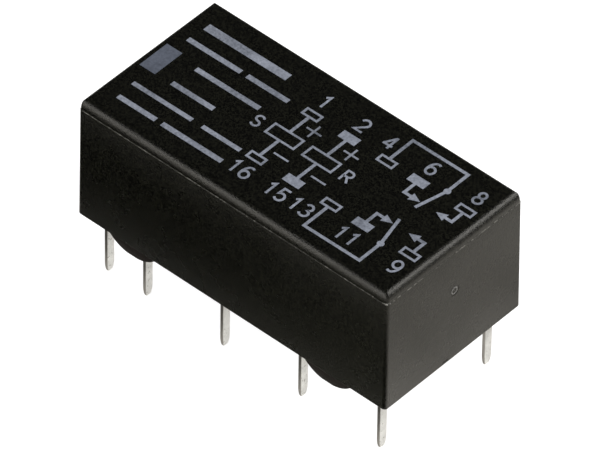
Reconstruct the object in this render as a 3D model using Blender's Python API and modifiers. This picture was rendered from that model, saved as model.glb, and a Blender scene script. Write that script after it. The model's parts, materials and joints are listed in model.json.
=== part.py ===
"""Sealed two-pole latching relay for a printed circuit board.

X runs along the case, Y across it and Z up. The origin is at the middle of the plane
that the pin tips stand on. A black cover is closed below by a moulded base and a layer
of resin. Inside, a coil on the left swings a polarised armature about an upright pivot,
and the armature's cross bar pushes one split contact spring on each side.
"""

import bpy
import bmesh
from math import asin, atan2, cos, pi, radians, sin, sqrt
from mathutils import Matrix, Vector

MM = 0.001

# Terminals, on a DIP grid
GRID_POSITIONS = 8
PIN_PITCH = 2.54 * MM
PIN_ROW_SPACING = 7.62 * MM
PIN_THICKNESS = 0.2 * MM
PIN_WIDTH = 0.5 * MM
PIN_LENGTH = 3.4 * MM
PIN_NOSE = 0.8 * MM
PIN_TIP_WIDTH = 0.12 * MM
SHOULDER_WIDTH = 0.8 * MM
SHOULDER_HEIGHT = 0.5 * MM
SHOULDER_RELIEF = 0.05 * MM
COIL_POST_WIDTH = 0.4 * MM
COIL_POST_HEIGHT = 1.8 * MM
HEAD_HEIGHT = 1.2 * MM
ARM_THICKNESS = 0.2 * MM
ARM_NECK = 0.65 * MM
ANCHOR_LENGTH = 0.42 * MM

# Case
END_MARGIN = 1.11 * MM
SIDE_MARGIN = 1.09 * MM
HEAD_ROOM = 0.65 * MM
SIDE_WALL = 0.45 * MM
TOP_WALL = 0.55 * MM
LOWER_CORNER_RADIUS = 0.34 * MM
UPPER_CORNER_RADIUS = 0.48 * MM
INNER_CORNER_RADIUS = 0.15 * MM
TOP_FILLET = 0.42 * MM
WALL_DRAFT = 0.06 * MM
PARTING_DEPTH = 0.58 * MM
PARTING_STEP = 0.03 * MM
MOULD_MARK_RADIUS = 0.26 * MM
MOULD_MARK_DEPTH = 0.06 * MM
MOULD_MARK_DROP = 3.05 * MM

# Base, feet and resin
BASE_THICKNESS = 1.05 * MM
FOOT_HEIGHT = 0.6 * MM
FOOT_RADIUS = 2.3 * MM
FOOT_FLAT = 0.7 * MM
FOOT_THICKNESS = 0.6 * MM
FOOT_SETBACK = 0.15 * MM
FOOT_ROOT_WIDTH = 2.2 * MM
FOOT_ROOT_THICKNESS = 0.3 * MM
RESIN_RECESS = 0.1 * MM
RESIN_THICKNESS = 0.25 * MM
CRADLE_RIB_WIDTH = 0.4 * MM
BARRIER_THICKNESS = 0.35 * MM
BARRIER_HEIGHT = 0.7 * MM

# Coil
SPOOL_WALL = 0.3 * MM
FLANGE_THICKNESS = 0.5 * MM
FLANGE_HEIGHT = 4.9 * MM
FLANGE_LIP = 0.16 * MM
SPOOL_PAST_COMMON_PIN = 1.42 * MM
WINDING_GAP = 0.02 * MM
WINDING_CORNER_RADIUS = 0.3 * MM
BRACKET_THICKNESS = 0.5 * MM
BRACKET_WALL = 0.52 * MM
GUSSET_SIZE = 0.6 * MM
WIRE_RADIUS = 0.04 * MM
WIRE_GROOVE_DEPTH = 0.15 * MM
WIRE_GROOVE_WIDTH = 0.2 * MM
WRAP_TURNS = 3
WRAP_PITCH = 0.1 * MM
WRAP_CLEARANCE = 0.1 * MM
WRAP_DROP = 0.6 * MM

# Iron circuit
CORE_THICKNESS = 1.3 * MM
CORE_EDGE = 0.4 * MM
YOKE_END_SPACE = 0.25 * MM
YOKE_THICKNESS = 0.5 * MM
YOKE_BRIDGE_THICKNESS = 0.6 * MM
YOKE_BEND_RADIUS = 0.55 * MM
YOKE_TO_SPRING = 0.5 * MM
PLATE_THICKNESS = 0.5 * MM
PLATE_TO_SPOOL = 0.15 * MM
POLE_TO_PIVOT = 0.9 * MM
MAGNET_TO_POLE = 0.35 * MM
MAGNET_INSET = 0.1 * MM

# Armature
PIVOT_TO_SPOOL = 2.15 * MM
PIVOT_RADIUS = 0.35 * MM
PIVOT_BEARING_LENGTH = 0.4 * MM
ARMATURE_TRAVEL = radians(5.0)
POLE_CLEARANCE = 0.033 * MM
SLAB_THICKNESS = 0.5 * MM
SLAB_TO_PIVOT = 0.7 * MM
SLAB_OVERHANG = 0.08 * MM
END_WALL_THICKNESS = 0.3 * MM
CROSS_BAR_WIDTH = 0.55 * MM
NIB_LENGTH = 0.4 * MM
NIB_THICKNESS = 0.2 * MM
NIB_ENGAGEMENT = 0.3 * MM
NIB_CLEARANCE = 0.06 * MM
PUSH_TO_CONTACT = 1.0 * MM

# Contact springs and contacts
BLADE_THICKNESS = 0.1 * MM
BLADE_INSET = 0.1 * MM
BLADE_TO_ROW = 0.66 * MM
BLADE_OVERHANG = 0.45 * MM
BLADE_ROOT_LAP = 0.45 * MM
BLADE_ROOT_STEP = 0.25 * MM
SLIT_WIDTH = 0.24 * MM
SLIT_LENGTH = 3.2 * MM
CONTACT_RADIUS_IN_PRONG = 0.4
SHANK_RADIUS_IN_PRONG = 0.17
CROWN_IN_CONTACT = 0.7
CONTACT_HEAD = 0.12 * MM
CONTACT_CLEARANCE = 0.01 * MM
FIXED_CONTACT_WIDTH = 0.6 * MM
FIXED_CONTACT_THICKNESS = 0.15 * MM

# Clearances
FIT_GAP = 0.05 * MM
WELD_GAP = 0.02 * MM
RUNNING_GAP = 0.3 * MM
BEARING_CLEARANCE = 0.03 * MM


def grid_x(number):
    """X of one of the eight places in a DIP row, counted from the left."""
    return (number - (GRID_POSITIONS + 1) / 2) * PIN_PITCH


# Levels above the pin tips
SEAT_Z = PIN_LENGTH
RIM_Z = SEAT_Z + FOOT_HEIGHT
RESIN_Z = RIM_Z + RESIN_RECESS
BASE_Z = RESIN_Z + RESIN_THICKNESS + FIT_GAP
BASE_TOP_Z = BASE_Z + BASE_THICKNESS
COIL_LOW_Z = BASE_TOP_Z + FIT_GAP
COIL_Z = COIL_LOW_Z + FLANGE_HEIGHT / 2
COIL_HIGH_Z = COIL_LOW_Z + FLANGE_HEIGHT
CEILING_Z = COIL_HIGH_Z + HEAD_ROOM
TOP_Z = CEILING_Z + TOP_WALL

# Case, from the pin grid
CASE_LENGTH = (GRID_POSITIONS - 1) * PIN_PITCH + 2 * END_MARGIN
CASE_WIDTH = PIN_ROW_SPACING + 2 * SIDE_MARGIN
INNER_LENGTH = CASE_LENGTH - 2 * SIDE_WALL
INNER_WIDTH = CASE_WIDTH - 2 * SIDE_WALL
ROW_Y = PIN_ROW_SPACING / 2
FOOT_X = grid_x(7)

# Heights of the mechanism, from the bobbin's flanges inward
IRON_HEIGHT = FLANGE_HEIGHT - 2 * (BRACKET_THICKNESS + RUNNING_GAP + SLAB_THICKNESS + FIT_GAP)
CORE_HEIGHT = IRON_HEIGHT - 2 * CORE_EDGE
MAGNET_HEIGHT = IRON_HEIGHT - 2 * MAGNET_INSET
BLADE_HEIGHT = IRON_HEIGHT - 2 * BLADE_INSET
BLADE_ROOT_HEIGHT = BLADE_HEIGHT - 2 * BLADE_ROOT_STEP
BLADE_LOW_Z = COIL_Z - BLADE_HEIGHT / 2
BLADE_HIGH_Z = COIL_Z + BLADE_HEIGHT / 2
LOWER_SLAB_TOP_Z = COIL_Z - IRON_HEIGHT / 2 - FIT_GAP
LOWER_SLAB_Z = LOWER_SLAB_TOP_Z - SLAB_THICKNESS
UPPER_SLAB_Z = COIL_Z + IRON_HEIGHT / 2 + FIT_GAP
UPPER_SLAB_TOP_Z = UPPER_SLAB_Z + SLAB_THICKNESS
NIB_TOP_Z = BLADE_LOW_Z + NIB_ENGAGEMENT
BRACKET_Z = COIL_HIGH_Z - BRACKET_THICKNESS
ARM_FOOT_Z = BASE_TOP_Z + 3 * FIT_GAP

# Places along the case
YOKE_LEFT_X = YOKE_END_SPACE - INNER_LENGTH / 2
SPOOL_LEFT_END = YOKE_LEFT_X + YOKE_BRIDGE_THICKNESS + FIT_GAP
SPOOL_RIGHT_END = grid_x(4) + SPOOL_PAST_COMMON_PIN
LEFT_FLANGE_X = SPOOL_LEFT_END + FLANGE_THICKNESS
RIGHT_FLANGE_X = SPOOL_RIGHT_END - FLANGE_THICKNESS
PIVOT_X = SPOOL_RIGHT_END + PIVOT_TO_SPOOL
POLE_END_X = PIVOT_X - POLE_TO_PIVOT
SLAB_START_X = PIVOT_X - SLAB_TO_PIVOT
PLATE_START_X = SPOOL_RIGHT_END + PLATE_TO_SPOOL
MAGNET_START_X = POLE_END_X + MAGNET_TO_POLE
COMMON_ANCHOR_X = grid_x(4) + ANCHOR_LENGTH
CONTACT_X = (grid_x(6) + grid_x(8)) / 2
PUSH_X = CONTACT_X - PUSH_TO_CONTACT
PLATE_END_X = PUSH_X - CROSS_BAR_WIDTH / 2 - END_WALL_THICKNESS

# Places across the case
HALF_TRAVEL = ARMATURE_TRAVEL / 2
PLATE_SWING = (PIVOT_X - PLATE_START_X) * sin(HALF_TRAVEL)
PLATE_Y = CORE_THICKNESS / 2 + PLATE_SWING + POLE_CLEARANCE
POLE_Y = PLATE_Y + PLATE_THICKNESS + PLATE_SWING + POLE_CLEARANCE
SLAB_WIDTH = 2 * (PLATE_Y + PLATE_THICKNESS + SLAB_OVERHANG)
BLADE_OFFSET_Y = ROW_Y - BLADE_TO_ROW
YOKE_OUTER_Y = BLADE_OFFSET_Y - YOKE_TO_SPRING
YOKE_Y = YOKE_OUTER_Y - YOKE_THICKNESS
FLANGE_WIDTH = 2 * (YOKE_Y - FIT_GAP)
BRACKET_WIDTH = 2 * (PIVOT_RADIUS + BEARING_CLEARANCE + BRACKET_WALL)
ANCHOR_Y = BLADE_OFFSET_Y + BLADE_THICKNESS / 2 + FIT_GAP + ARM_THICKNESS / 2

# Walls of the coil, each a distance out from the core
SET_WALL = FIT_GAP + SPOOL_WALL + WINDING_GAP
WINDING_ROOM = FLANGE_WIDTH / 2 - FLANGE_LIP - CORE_THICKNESS / 2 - SET_WALL - WINDING_GAP
WINDING_BUILD = WINDING_ROOM / 2
RESET_WALL = SET_WALL + WINDING_BUILD + WINDING_GAP
WINDINGS_WALL = RESET_WALL + WINDING_BUILD

# Contact spring movement, and what faces it
SPRING_RATIO = (PUSH_X - PIVOT_X) / (PUSH_X - COMMON_ANCHOR_X)
SPRING_HALF_TRAVEL = HALF_TRAVEL * SPRING_RATIO
CONTACT_SWING = (CONTACT_X - COMMON_ANCHOR_X) * sin(SPRING_HALF_TRAVEL)
CONTACT_REACH = BLADE_THICKNESS / 2 + CONTACT_HEAD + CONTACT_SWING + CONTACT_CLEARANCE
ARM_REACH = CONTACT_REACH + FIXED_CONTACT_THICKNESS + WELD_GAP
PRONG_HEIGHT = (BLADE_HEIGHT - SLIT_WIDTH) / 2
PRONG_OFFSET_Z = (SLIT_WIDTH + PRONG_HEIGHT) / 2
CONTACT_RADIUS = CONTACT_RADIUS_IN_PRONG * PRONG_HEIGHT
CONTACT_SHANK_RADIUS = SHANK_RADIUS_IN_PRONG * PRONG_HEIGHT
ARM_LEFT_X = CONTACT_X - CONTACT_RADIUS - FIT_GAP
ARM_RIGHT_X = CONTACT_X + BLADE_OVERHANG

CORNER_STEPS = 4
FILLET_STEPS = 6
NOSE_STEPS = 4
FOOT_STEPS = 8
BEND_STEPS = 6
WRAP_STEPS = 10
BEARING_SIDES = 32
RIVET_SIDES = 20
FRONT = -1
REAR = 1
SIDES = (FRONT, REAR)


def clear_scene():
    for obj in list(bpy.data.objects):
        bpy.data.objects.remove(obj, do_unlink=True)


def make_collection(name):
    collection = bpy.data.collections.new(name)
    bpy.context.scene.collection.children.link(collection)
    return collection


def make_material(name, colour, roughness, metallic=0.0):
    material = bpy.data.materials.new(name)
    material.use_nodes = True
    shader = material.node_tree.nodes["Principled BSDF"]
    shader.inputs["Base Color"].default_value = (*colour, 1.0)
    shader.inputs["Roughness"].default_value = roughness
    shader.inputs["Metallic"].default_value = metallic
    return material


clear_scene()
PARTS = make_collection("pcb_power_relay")
TOOLS = make_collection("tools")
BLACK_PLASTIC = make_material("case_black", (0.022, 0.020, 0.018), 0.5)
BASE_PLASTIC = make_material("base_brown_black", (0.035, 0.027, 0.022), 0.55)
RESIN = make_material("sealing_resin", (0.03, 0.028, 0.026), 0.25)
WHITE_PLASTIC = make_material("bobbin_natural", (0.72, 0.70, 0.62), 0.45)
CARRIER_PLASTIC = make_material("carrier_green", (0.10, 0.22, 0.16), 0.45)
TIN = make_material("tinned_strip", (0.74, 0.74, 0.72), 0.3, 1.0)
IRON = make_material("plated_iron", (0.56, 0.56, 0.55), 0.35, 1.0)
MAGNET = make_material("magnet_dark", (0.10, 0.10, 0.11), 0.5, 0.6)
SPRING_METAL = make_material("spring_bronze", (0.80, 0.58, 0.38), 0.3, 1.0)
SILVER = make_material("contact_silver", (0.88, 0.87, 0.84), 0.25, 1.0)
COPPER = make_material("enamelled_copper", (0.62, 0.26, 0.13), 0.35, 1.0)


def new_object(name, mesh, collection=TOOLS):
    obj = bpy.data.objects.new(name, mesh)
    collection.objects.link(obj)
    if collection is TOOLS:
        obj.hide_render = True
        obj.display_type = "WIRE"
    return obj


def part(obj, material):
    """Make a finished shape one of the relay's pieces."""
    TOOLS.objects.unlink(obj)
    PARTS.objects.link(obj)
    obj.hide_render = False
    obj.display_type = "TEXTURED"
    obj.data.materials.clear()
    obj.data.materials.append(material)
    obj.data.shade_smooth()
    obj.data.set_sharp_from_angle(angle=radians(35))
    return obj


def finish_mesh(name, shape):
    """Turn an edited shape into an object among the tools."""
    mesh = bpy.data.meshes.new(name)
    shape.to_mesh(mesh)
    shape.free()
    return new_object(name, mesh)


def box(name, low, high):
    """Block between two corners."""
    low, high = Vector(low), Vector(high)
    low, high = Vector(map(min, low, high)), Vector(map(max, low, high))
    shape = bmesh.new()
    place = Matrix.Translation((low + high) / 2) @ Matrix.Diagonal((*(high - low), 1.0))
    bmesh.ops.create_cube(shape, size=1.0, matrix=place)
    return finish_mesh(name, shape)


def soften(obj, width, segments=2):
    """Round a block's edges."""
    bevel = obj.modifiers.new("edges", "BEVEL")
    bevel.width = width
    bevel.segments = segments
    bevel.limit_method = "ANGLE"
    bevel.harden_normals = False
    return obj


def rod(name, radius, start, end, sides=24):
    """Round bar between two points."""
    start, end = Vector(start), Vector(end)
    turn = Vector((0, 0, 1)).rotation_difference(end - start).to_matrix().to_4x4()
    place = Matrix.Translation((start + end) / 2) @ turn
    shape = bmesh.new()
    bmesh.ops.create_cone(shape, cap_ends=True, segments=sides, radius1=radius, radius2=radius,
                          depth=(end - start).length, matrix=place)
    return finish_mesh(name, shape)


def arc(centre, radius, start, end, steps):
    """Points round part of a circle, with both ends."""
    points = []
    for step in range(steps + 1):
        angle = start + (end - start) * step / steps
        points.append((centre[0] + radius * cos(angle), centre[1] + radius * sin(angle)))
    return points


def rounded_rectangle(length, width, radius, z):
    """Ring of points round a plan rectangle with rounded corners."""
    ring = []
    for corner, (side_x, side_y) in enumerate(((1, 1), (-1, 1), (-1, -1), (1, -1))):
        centre = (side_x * (length / 2 - radius), side_y * (width / 2 - radius))
        start = corner * pi / 2
        ring += [Vector((x, y, z)) for x, y in arc(centre, radius, start, start + pi / 2, CORNER_STEPS)]
    return ring


def loft(name, rings, closed=False):
    """Skin over rings of equally many points, capped at both ends or closed on itself."""
    shape = bmesh.new()
    loops = [[shape.verts.new(point) for point in ring] for ring in rings]
    pairs = list(zip(loops, loops[1:]))
    if closed:
        pairs.append((loops[-1], loops[0]))
    else:
        shape.faces.new(reversed(loops[0]))
        shape.faces.new(loops[-1])
    for lower, upper in pairs:
        count = len(lower)
        for index in range(count):
            after = (index + 1) % count
            shape.faces.new((lower[index], lower[after], upper[after], upper[index]))
    bmesh.ops.recalc_face_normals(shape, faces=shape.faces)
    return finish_mesh(name, shape)


def curve_shape(curve):
    """Edited mesh of a curve, with its caps welded on; the curve is removed."""
    pattern = bpy.data.objects.new("pattern", curve)
    TOOLS.objects.link(pattern)
    bpy.context.view_layer.update()
    evaluated = pattern.evaluated_get(bpy.context.evaluated_depsgraph_get())
    mesh = bpy.data.meshes.new_from_object(evaluated)
    bpy.data.objects.remove(pattern, do_unlink=True)
    bpy.data.curves.remove(curve)
    shape = bmesh.new()
    shape.from_mesh(mesh)
    bpy.data.meshes.remove(mesh)
    bmesh.ops.remove_doubles(shape, verts=shape.verts, dist=0.001 * MM)
    return shape


def stamping(name, outline, thickness, plane, middle):
    """Flat outline given a thickness; plane is XY, XZ or YZ, and middle is where it lies."""
    curve = bpy.data.curves.new(name, "CURVE")
    curve.dimensions = "2D"
    curve.fill_mode = "BOTH"
    curve.extrude = thickness / 2
    spline = curve.splines.new("POLY")
    spline.points.add(len(outline) - 1)
    for point, (across, up) in zip(spline.points, outline):
        point.co = (across, up, 0.0, 1.0)
    spline.use_cyclic_u = True
    columns = {
        "XY": ((1, 0, 0), (0, 1, 0), (0, 0, middle)),
        "XZ": ((1, 0, 0), (0, 0, 1), (0, middle, 0)),
        "YZ": ((0, 1, 0), (0, 0, 1), (middle, 0, 0)),
    }[plane]
    across, up, shift = (Vector(column) for column in columns)
    turn = Matrix((across, up, across.cross(up))).transposed().to_4x4()
    shape = curve_shape(curve)
    bmesh.ops.transform(shape, matrix=Matrix.Translation(shift) @ turn, verts=shape.verts)
    bmesh.ops.recalc_face_normals(shape, faces=shape.faces)
    return finish_mesh(name, shape)


def wire(name, points, radius):
    """Round wire through a list of points."""
    curve = bpy.data.curves.new(name, "CURVE")
    curve.dimensions = "3D"
    curve.bevel_depth = radius
    curve.bevel_resolution = 2
    curve.use_fill_caps = True
    spline = curve.splines.new("POLY")
    spline.points.add(len(points) - 1)
    for point, place in zip(spline.points, points):
        point.co = (*place, 1.0)
    shape = curve_shape(curve)
    bmesh.ops.recalc_face_normals(shape, faces=shape.faces)
    return finish_mesh(name, shape)


def combine(target, tools, operation):
    for tool in tools:
        modifier = target.modifiers.new(tool.name, "BOOLEAN")
        modifier.operation = operation
        modifier.object = tool
    return target


def join(target, *shapes):
    return combine(target, shapes, "UNION")


def cut(target, *shapes):
    return combine(target, shapes, "DIFFERENCE")


def make_cover():
    """Deep lid, a little narrower upwards, with a filleted top and a fine step at its parting."""
    parting_z = TOP_Z - PARTING_DEPTH
    length, width = CASE_LENGTH - 2 * WALL_DRAFT, CASE_WIDTH - 2 * WALL_DRAFT
    rings = [
        rounded_rectangle(INNER_LENGTH, INNER_WIDTH, INNER_CORNER_RADIUS, CEILING_Z),
        rounded_rectangle(INNER_LENGTH, INNER_WIDTH, INNER_CORNER_RADIUS, RIM_Z),
        rounded_rectangle(CASE_LENGTH, CASE_WIDTH, LOWER_CORNER_RADIUS, RIM_Z),
        rounded_rectangle(length, width, LOWER_CORNER_RADIUS, parting_z),
    ]
    length, width = length - 2 * PARTING_STEP, width - 2 * PARTING_STEP
    rings.append(rounded_rectangle(length, width, UPPER_CORNER_RADIUS, parting_z))
    for step in range(FILLET_STEPS + 1):
        angle = step / FILLET_STEPS * pi / 2
        inset = TOP_FILLET * (1 - cos(angle))
        height = TOP_Z - TOP_FILLET * (1 - sin(angle))
        radius = UPPER_CORNER_RADIUS - inset
        rings.append(rounded_rectangle(length - 2 * inset, width - 2 * inset, radius, height))
    cover = loft("cover", rings)
    mark_z = TOP_Z - MOULD_MARK_DROP
    end_x = CASE_LENGTH / 2
    mark = rod("mould_mark", MOULD_MARK_RADIUS, (end_x - WALL_DRAFT - MOULD_MARK_DEPTH, 0, mark_z),
               (end_x + MOULD_MARK_DEPTH, 0, mark_z))
    return part(cut(cover, mark), BLACK_PLASTIC)


def foot_outline():
    """Half-round stand-off below the rim, with a small flat that meets the board."""
    centre_z = SEAT_Z + sqrt(FOOT_RADIUS ** 2 - (FOOT_FLAT / 2) ** 2)
    rise = centre_z - (RIM_Z - FIT_GAP)
    first = atan2(-rise, -sqrt(FOOT_RADIUS ** 2 - rise ** 2)) + 2 * pi
    last = 1.5 * pi - asin(FOOT_FLAT / 2 / FOOT_RADIUS)
    left = arc((0, centre_z), FOOT_RADIUS, first, last, FOOT_STEPS)
    return left + [(-x, z) for x, z in reversed(left)]


def foot_root(side_x, side_y, gap, bottom, top):
    """Block that carries a foot; with a gap it is the hole that the resin leaves round it."""
    outer = INNER_WIDTH / 2 - FIT_GAP
    inner = outer - FOOT_ROOT_THICKNESS
    half = FOOT_ROOT_WIDTH / 2 + gap
    x = side_x * FOOT_X
    return box("foot_root", (x - half, side_y * (inner - gap), bottom),
               (x + half, side_y * (outer + gap), top))


def make_feet():
    """Each foot hangs on a thin root that passes through the resin."""
    feet = []
    for side_x in (-1, 1):
        outline = [(side_x * FOOT_X + x, z) for x, z in foot_outline()]
        for side_y in SIDES:
            outer = CASE_WIDTH / 2 - FOOT_SETBACK
            middle = side_y * (outer - FOOT_THICKNESS / 2)
            feet.append(stamping("foot", outline, FOOT_THICKNESS, "XZ", middle))
            feet.append(foot_root(side_x, side_y, 0.0, RIM_Z - FOOT_HEIGHT / 2, BASE_Z + FIT_GAP))
    return feet


def terminal_slots():
    """Cutters for the ten slots through the base and the resin."""
    slots = []
    half_x = PIN_THICKNESS / 2 + FIT_GAP
    half_y = PIN_WIDTH / 2 + FIT_GAP
    for number in (1, 2, 4, 6, 8):
        x = grid_x(number)
        for side in SIDES:
            y = side * ROW_Y
            low, high = (x - half_x, y - half_y, RIM_Z), (x + half_x, y + half_y, COIL_Z)
            slots.append(box("slot", low, high))
    return slots


def cradle_ribs(root_z):
    """Two ribs that the coil lies on, just inside the bobbin's flanges."""
    half = FLANGE_WIDTH / 2
    rib_top = COIL_Z - tube_half(WINDINGS_WALL)[1] - FIT_GAP
    ribs = []
    for start, inward in ((LEFT_FLANGE_X + FIT_GAP, 1), (RIGHT_FLANGE_X - FIT_GAP, -1)):
        end = start + inward * CRADLE_RIB_WIDTH
        ribs.append(soften(box("cradle_rib", (start, -half, root_z), (end, half, rib_top)), FIT_GAP))
    return ribs


def make_base(slots):
    """Moulded plate with feet below, and cradle ribs, a pivot boss and a barrier above."""
    length, width = INNER_LENGTH - 2 * FIT_GAP, INNER_WIDTH - 2 * FIT_GAP
    levels = (BASE_Z, BASE_TOP_Z)
    base = loft("base", [rounded_rectangle(length, width, INNER_CORNER_RADIUS, z) for z in levels])
    root_z = BASE_TOP_Z - BASE_THICKNESS / 2
    boss_top = LOWER_SLAB_Z - 2 * FIT_GAP
    boss_radius = PIVOT_RADIUS + PIVOT_BEARING_LENGTH
    boss = rod("pivot_boss", boss_radius, (PIVOT_X, 0, root_z), (PIVOT_X, 0, boss_top), BEARING_SIDES)
    barrier = box("barrier", (CONTACT_X + CONTACT_RADIUS, -BARRIER_THICKNESS / 2, root_z),
                  (INNER_LENGTH / 2 - 2 * FIT_GAP, BARRIER_THICKNESS / 2, BASE_TOP_Z + BARRIER_HEIGHT))
    join(base, *make_feet(), *cradle_ribs(root_z), boss, soften(barrier, FIT_GAP))
    hole = rod("lower_bearing", PIVOT_RADIUS + BEARING_CLEARANCE,
               (PIVOT_X, 0, boss_top - PIVOT_BEARING_LENGTH), (PIVOT_X, 0, boss_top + FIT_GAP),
               BEARING_SIDES)
    return part(cut(base, hole, *slots), BASE_PLASTIC)


def make_resin(slots):
    """Thin cast layer between the rim and the base, round every terminal and foot."""
    length, width = INNER_LENGTH - 2 * FIT_GAP, INNER_WIDTH - 2 * FIT_GAP
    levels = (RESIN_Z, RESIN_Z + RESIN_THICKNESS)
    rings = [rounded_rectangle(length, width, INNER_CORNER_RADIUS, z) for z in levels]
    resin = loft("sealing_resin", rings)
    corners = [(side_x, side_y) for side_x in (-1, 1) for side_y in SIDES]
    roots = [foot_root(*corner, FIT_GAP, RIM_Z, BASE_TOP_Z) for corner in corners]
    return part(cut(resin, *roots, *slots), RESIN)


def strip_outline(side, head_y, head_top, post_top=0.0):
    """Terminal strip seen along X: rounded nose, pin, shoulder on the base, and head or post."""
    half = PIN_WIDTH / 2
    tip = PIN_TIP_WIDTH / 2
    nose = [(tip + (half - tip) * sin(turn), PIN_NOSE * (1 - cos(turn)))
            for turn in (step / NOSE_STEPS * pi / 2 for step in range(NOSE_STEPS + 1))]
    shoulder = SHOULDER_WIDTH / 2
    shoulder_z = BASE_TOP_Z + FIT_GAP
    relief_z = shoulder_z + SHOULDER_RELIEF
    outer = ROW_Y + shoulder
    inner = min(head_y, ROW_Y - shoulder)
    outline = [(ROW_Y + y, z) for y, z in nose]
    outline += [(ROW_Y + half, relief_z), (outer, shoulder_z), (outer, head_top)]
    if post_top:
        post_half = COIL_POST_WIDTH / 2
        outline += [(ROW_Y + post_half, head_top), (ROW_Y + post_half, post_top),
                    (ROW_Y - post_half, post_top), (ROW_Y - post_half, head_top)]
    outline += [(inner, head_top), (inner, shoulder_z), (ROW_Y - half, relief_z)]
    outline += [(ROW_Y - y, z) for y, z in reversed(nose)]
    return [(side * y, z) for y, z in outline]


def make_coil_terminal(name, number, side):
    """Strip with a post that one end of a winding is wrapped on."""
    head_top = BASE_TOP_Z + FIT_GAP + SHOULDER_HEIGHT
    outline = strip_outline(side, ROW_Y, head_top, BASE_TOP_Z + COIL_POST_HEIGHT)
    return part(stamping(name, outline, PIN_THICKNESS, "YZ", grid_x(number)), TIN)


def make_armed_terminal(name, number, side, arm_y, arm_outline):
    """Strip whose head is folded into an upright arm that runs along the case."""
    outline = strip_outline(side, arm_y, BASE_TOP_Z + HEAD_HEIGHT)
    strip = stamping(name, outline, PIN_THICKNESS, "YZ", grid_x(number))
    arm = stamping(name + "_arm", arm_outline, ARM_THICKNESS, "XZ", side * arm_y)
    return part(join(strip, arm), TIN)


def closed_arm_outline():
    """Arm of a normally closed terminal: it rises, then passes over the armature's nibs."""
    x = grid_x(6)
    neck_x = x + ARM_NECK
    over_nibs = NIB_TOP_Z + RUNNING_GAP / 2
    return [(x, ARM_FOOT_Z), (neck_x, ARM_FOOT_Z), (neck_x, over_nibs), (ARM_LEFT_X, over_nibs),
            (ARM_LEFT_X, BLADE_LOW_Z), (ARM_RIGHT_X, BLADE_LOW_Z), (ARM_RIGHT_X, BLADE_HIGH_Z),
            (ARM_LEFT_X - ARM_NECK, BLADE_HIGH_Z), (x, COIL_Z + PRONG_OFFSET_Z / 2)]


def open_arm_outline():
    """Arm of a normally open terminal: it comes back from the right end of the case."""
    x = grid_x(8)
    neck_x = ARM_RIGHT_X + ARM_NECK
    return [(x, ARM_FOOT_Z), (x, COIL_Z), (neck_x, BLADE_HIGH_Z), (ARM_LEFT_X, BLADE_HIGH_Z),
            (ARM_LEFT_X, BLADE_LOW_Z), (neck_x, BLADE_LOW_Z), (x - ARM_NECK, ARM_FOOT_Z)]


def common_arm_outline():
    """Short anchor plate that a spring's root is welded to."""
    x = grid_x(4)
    top = COIL_Z + BLADE_ROOT_HEIGHT / 2
    return [(x, ARM_FOOT_Z), (COMMON_ANCHOR_X, ARM_FOOT_Z), (COMMON_ANCHOR_X, top), (x, top)]


def make_terminals():
    outer_y = BLADE_OFFSET_Y + ARM_REACH + ARM_THICKNESS / 2
    inner_y = BLADE_OFFSET_Y - ARM_REACH - ARM_THICKNESS / 2
    make_coil_terminal("terminal_1_set", 1, FRONT)
    make_coil_terminal("terminal_16_set", 1, REAR)
    make_coil_terminal("terminal_2_reset", 2, FRONT)
    make_coil_terminal("terminal_15_reset", 2, REAR)
    make_armed_terminal("terminal_4_common", 4, FRONT, ANCHOR_Y, common_arm_outline())
    make_armed_terminal("terminal_13_common", 4, REAR, ANCHOR_Y, common_arm_outline())
    make_armed_terminal("terminal_6_closed", 6, FRONT, outer_y, closed_arm_outline())
    make_armed_terminal("terminal_11_closed", 6, REAR, inner_y, closed_arm_outline())
    make_armed_terminal("terminal_8_open", 8, FRONT, inner_y, open_arm_outline())
    make_armed_terminal("terminal_9_open", 8, REAR, outer_y, open_arm_outline())


def make_fixed_contact(name, side, outward):
    """Silver bar welded to an arm, facing the moving contacts."""
    face = BLADE_OFFSET_Y + outward * CONTACT_REACH
    back = face + outward * FIXED_CONTACT_THICKNESS
    half_width = FIXED_CONTACT_WIDTH / 2
    bar = box(name, (CONTACT_X - half_width, side * face, BLADE_LOW_Z),
              (CONTACT_X + half_width, side * back, BLADE_HIGH_Z))
    return part(soften(bar, FIXED_CONTACT_THICKNESS / 4), SILVER)


def make_fixed_contacts():
    make_fixed_contact("fixed_contact_closed_front", FRONT, 1)
    make_fixed_contact("fixed_contact_open_front", FRONT, -1)
    make_fixed_contact("fixed_contact_closed_rear", REAR, -1)
    make_fixed_contact("fixed_contact_open_rear", REAR, 1)


def tube_half(wall):
    """Half width and half height of a sleeve that stands the given distance off the core."""
    return CORE_THICKNESS / 2 + wall, CORE_HEIGHT / 2 + wall


def x_rectangle(half_width, half_height, radius, x):
    """The rounded rectangle stood upright across the coil's axis."""
    flat = rounded_rectangle(2 * half_width, 2 * half_height, radius, 0)
    return [Vector((x, point.x, COIL_Z + point.y)) for point in flat]


LEAD_Z = COIL_Z - tube_half(SET_WALL + WINDING_BUILD / 2)[1]


def make_bracket():
    """Tongue from the right flange to the armature's upper pivot, on a gusset."""
    root_x = SPOOL_RIGHT_END - FLANGE_THICKNESS / 2
    half = BRACKET_WIDTH / 2
    end = arc((PIVOT_X, 0), half, -pi / 2, pi / 2, 2 * BEND_STEPS)
    outline = [(root_x, -half), *end, (root_x, half)]
    thickness = BRACKET_THICKNESS - FIT_GAP
    tongue = stamping("bracket", outline, thickness, "XY", BRACKET_Z + thickness / 2)
    gusset_z = BRACKET_Z + thickness / 2
    corner = [(root_x, gusset_z), (root_x, gusset_z - GUSSET_SIZE), (root_x + GUSSET_SIZE, gusset_z)]
    gusset = stamping("gusset", corner, BRACKET_WALL, "XZ", 0)
    return tongue, gusset


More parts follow.
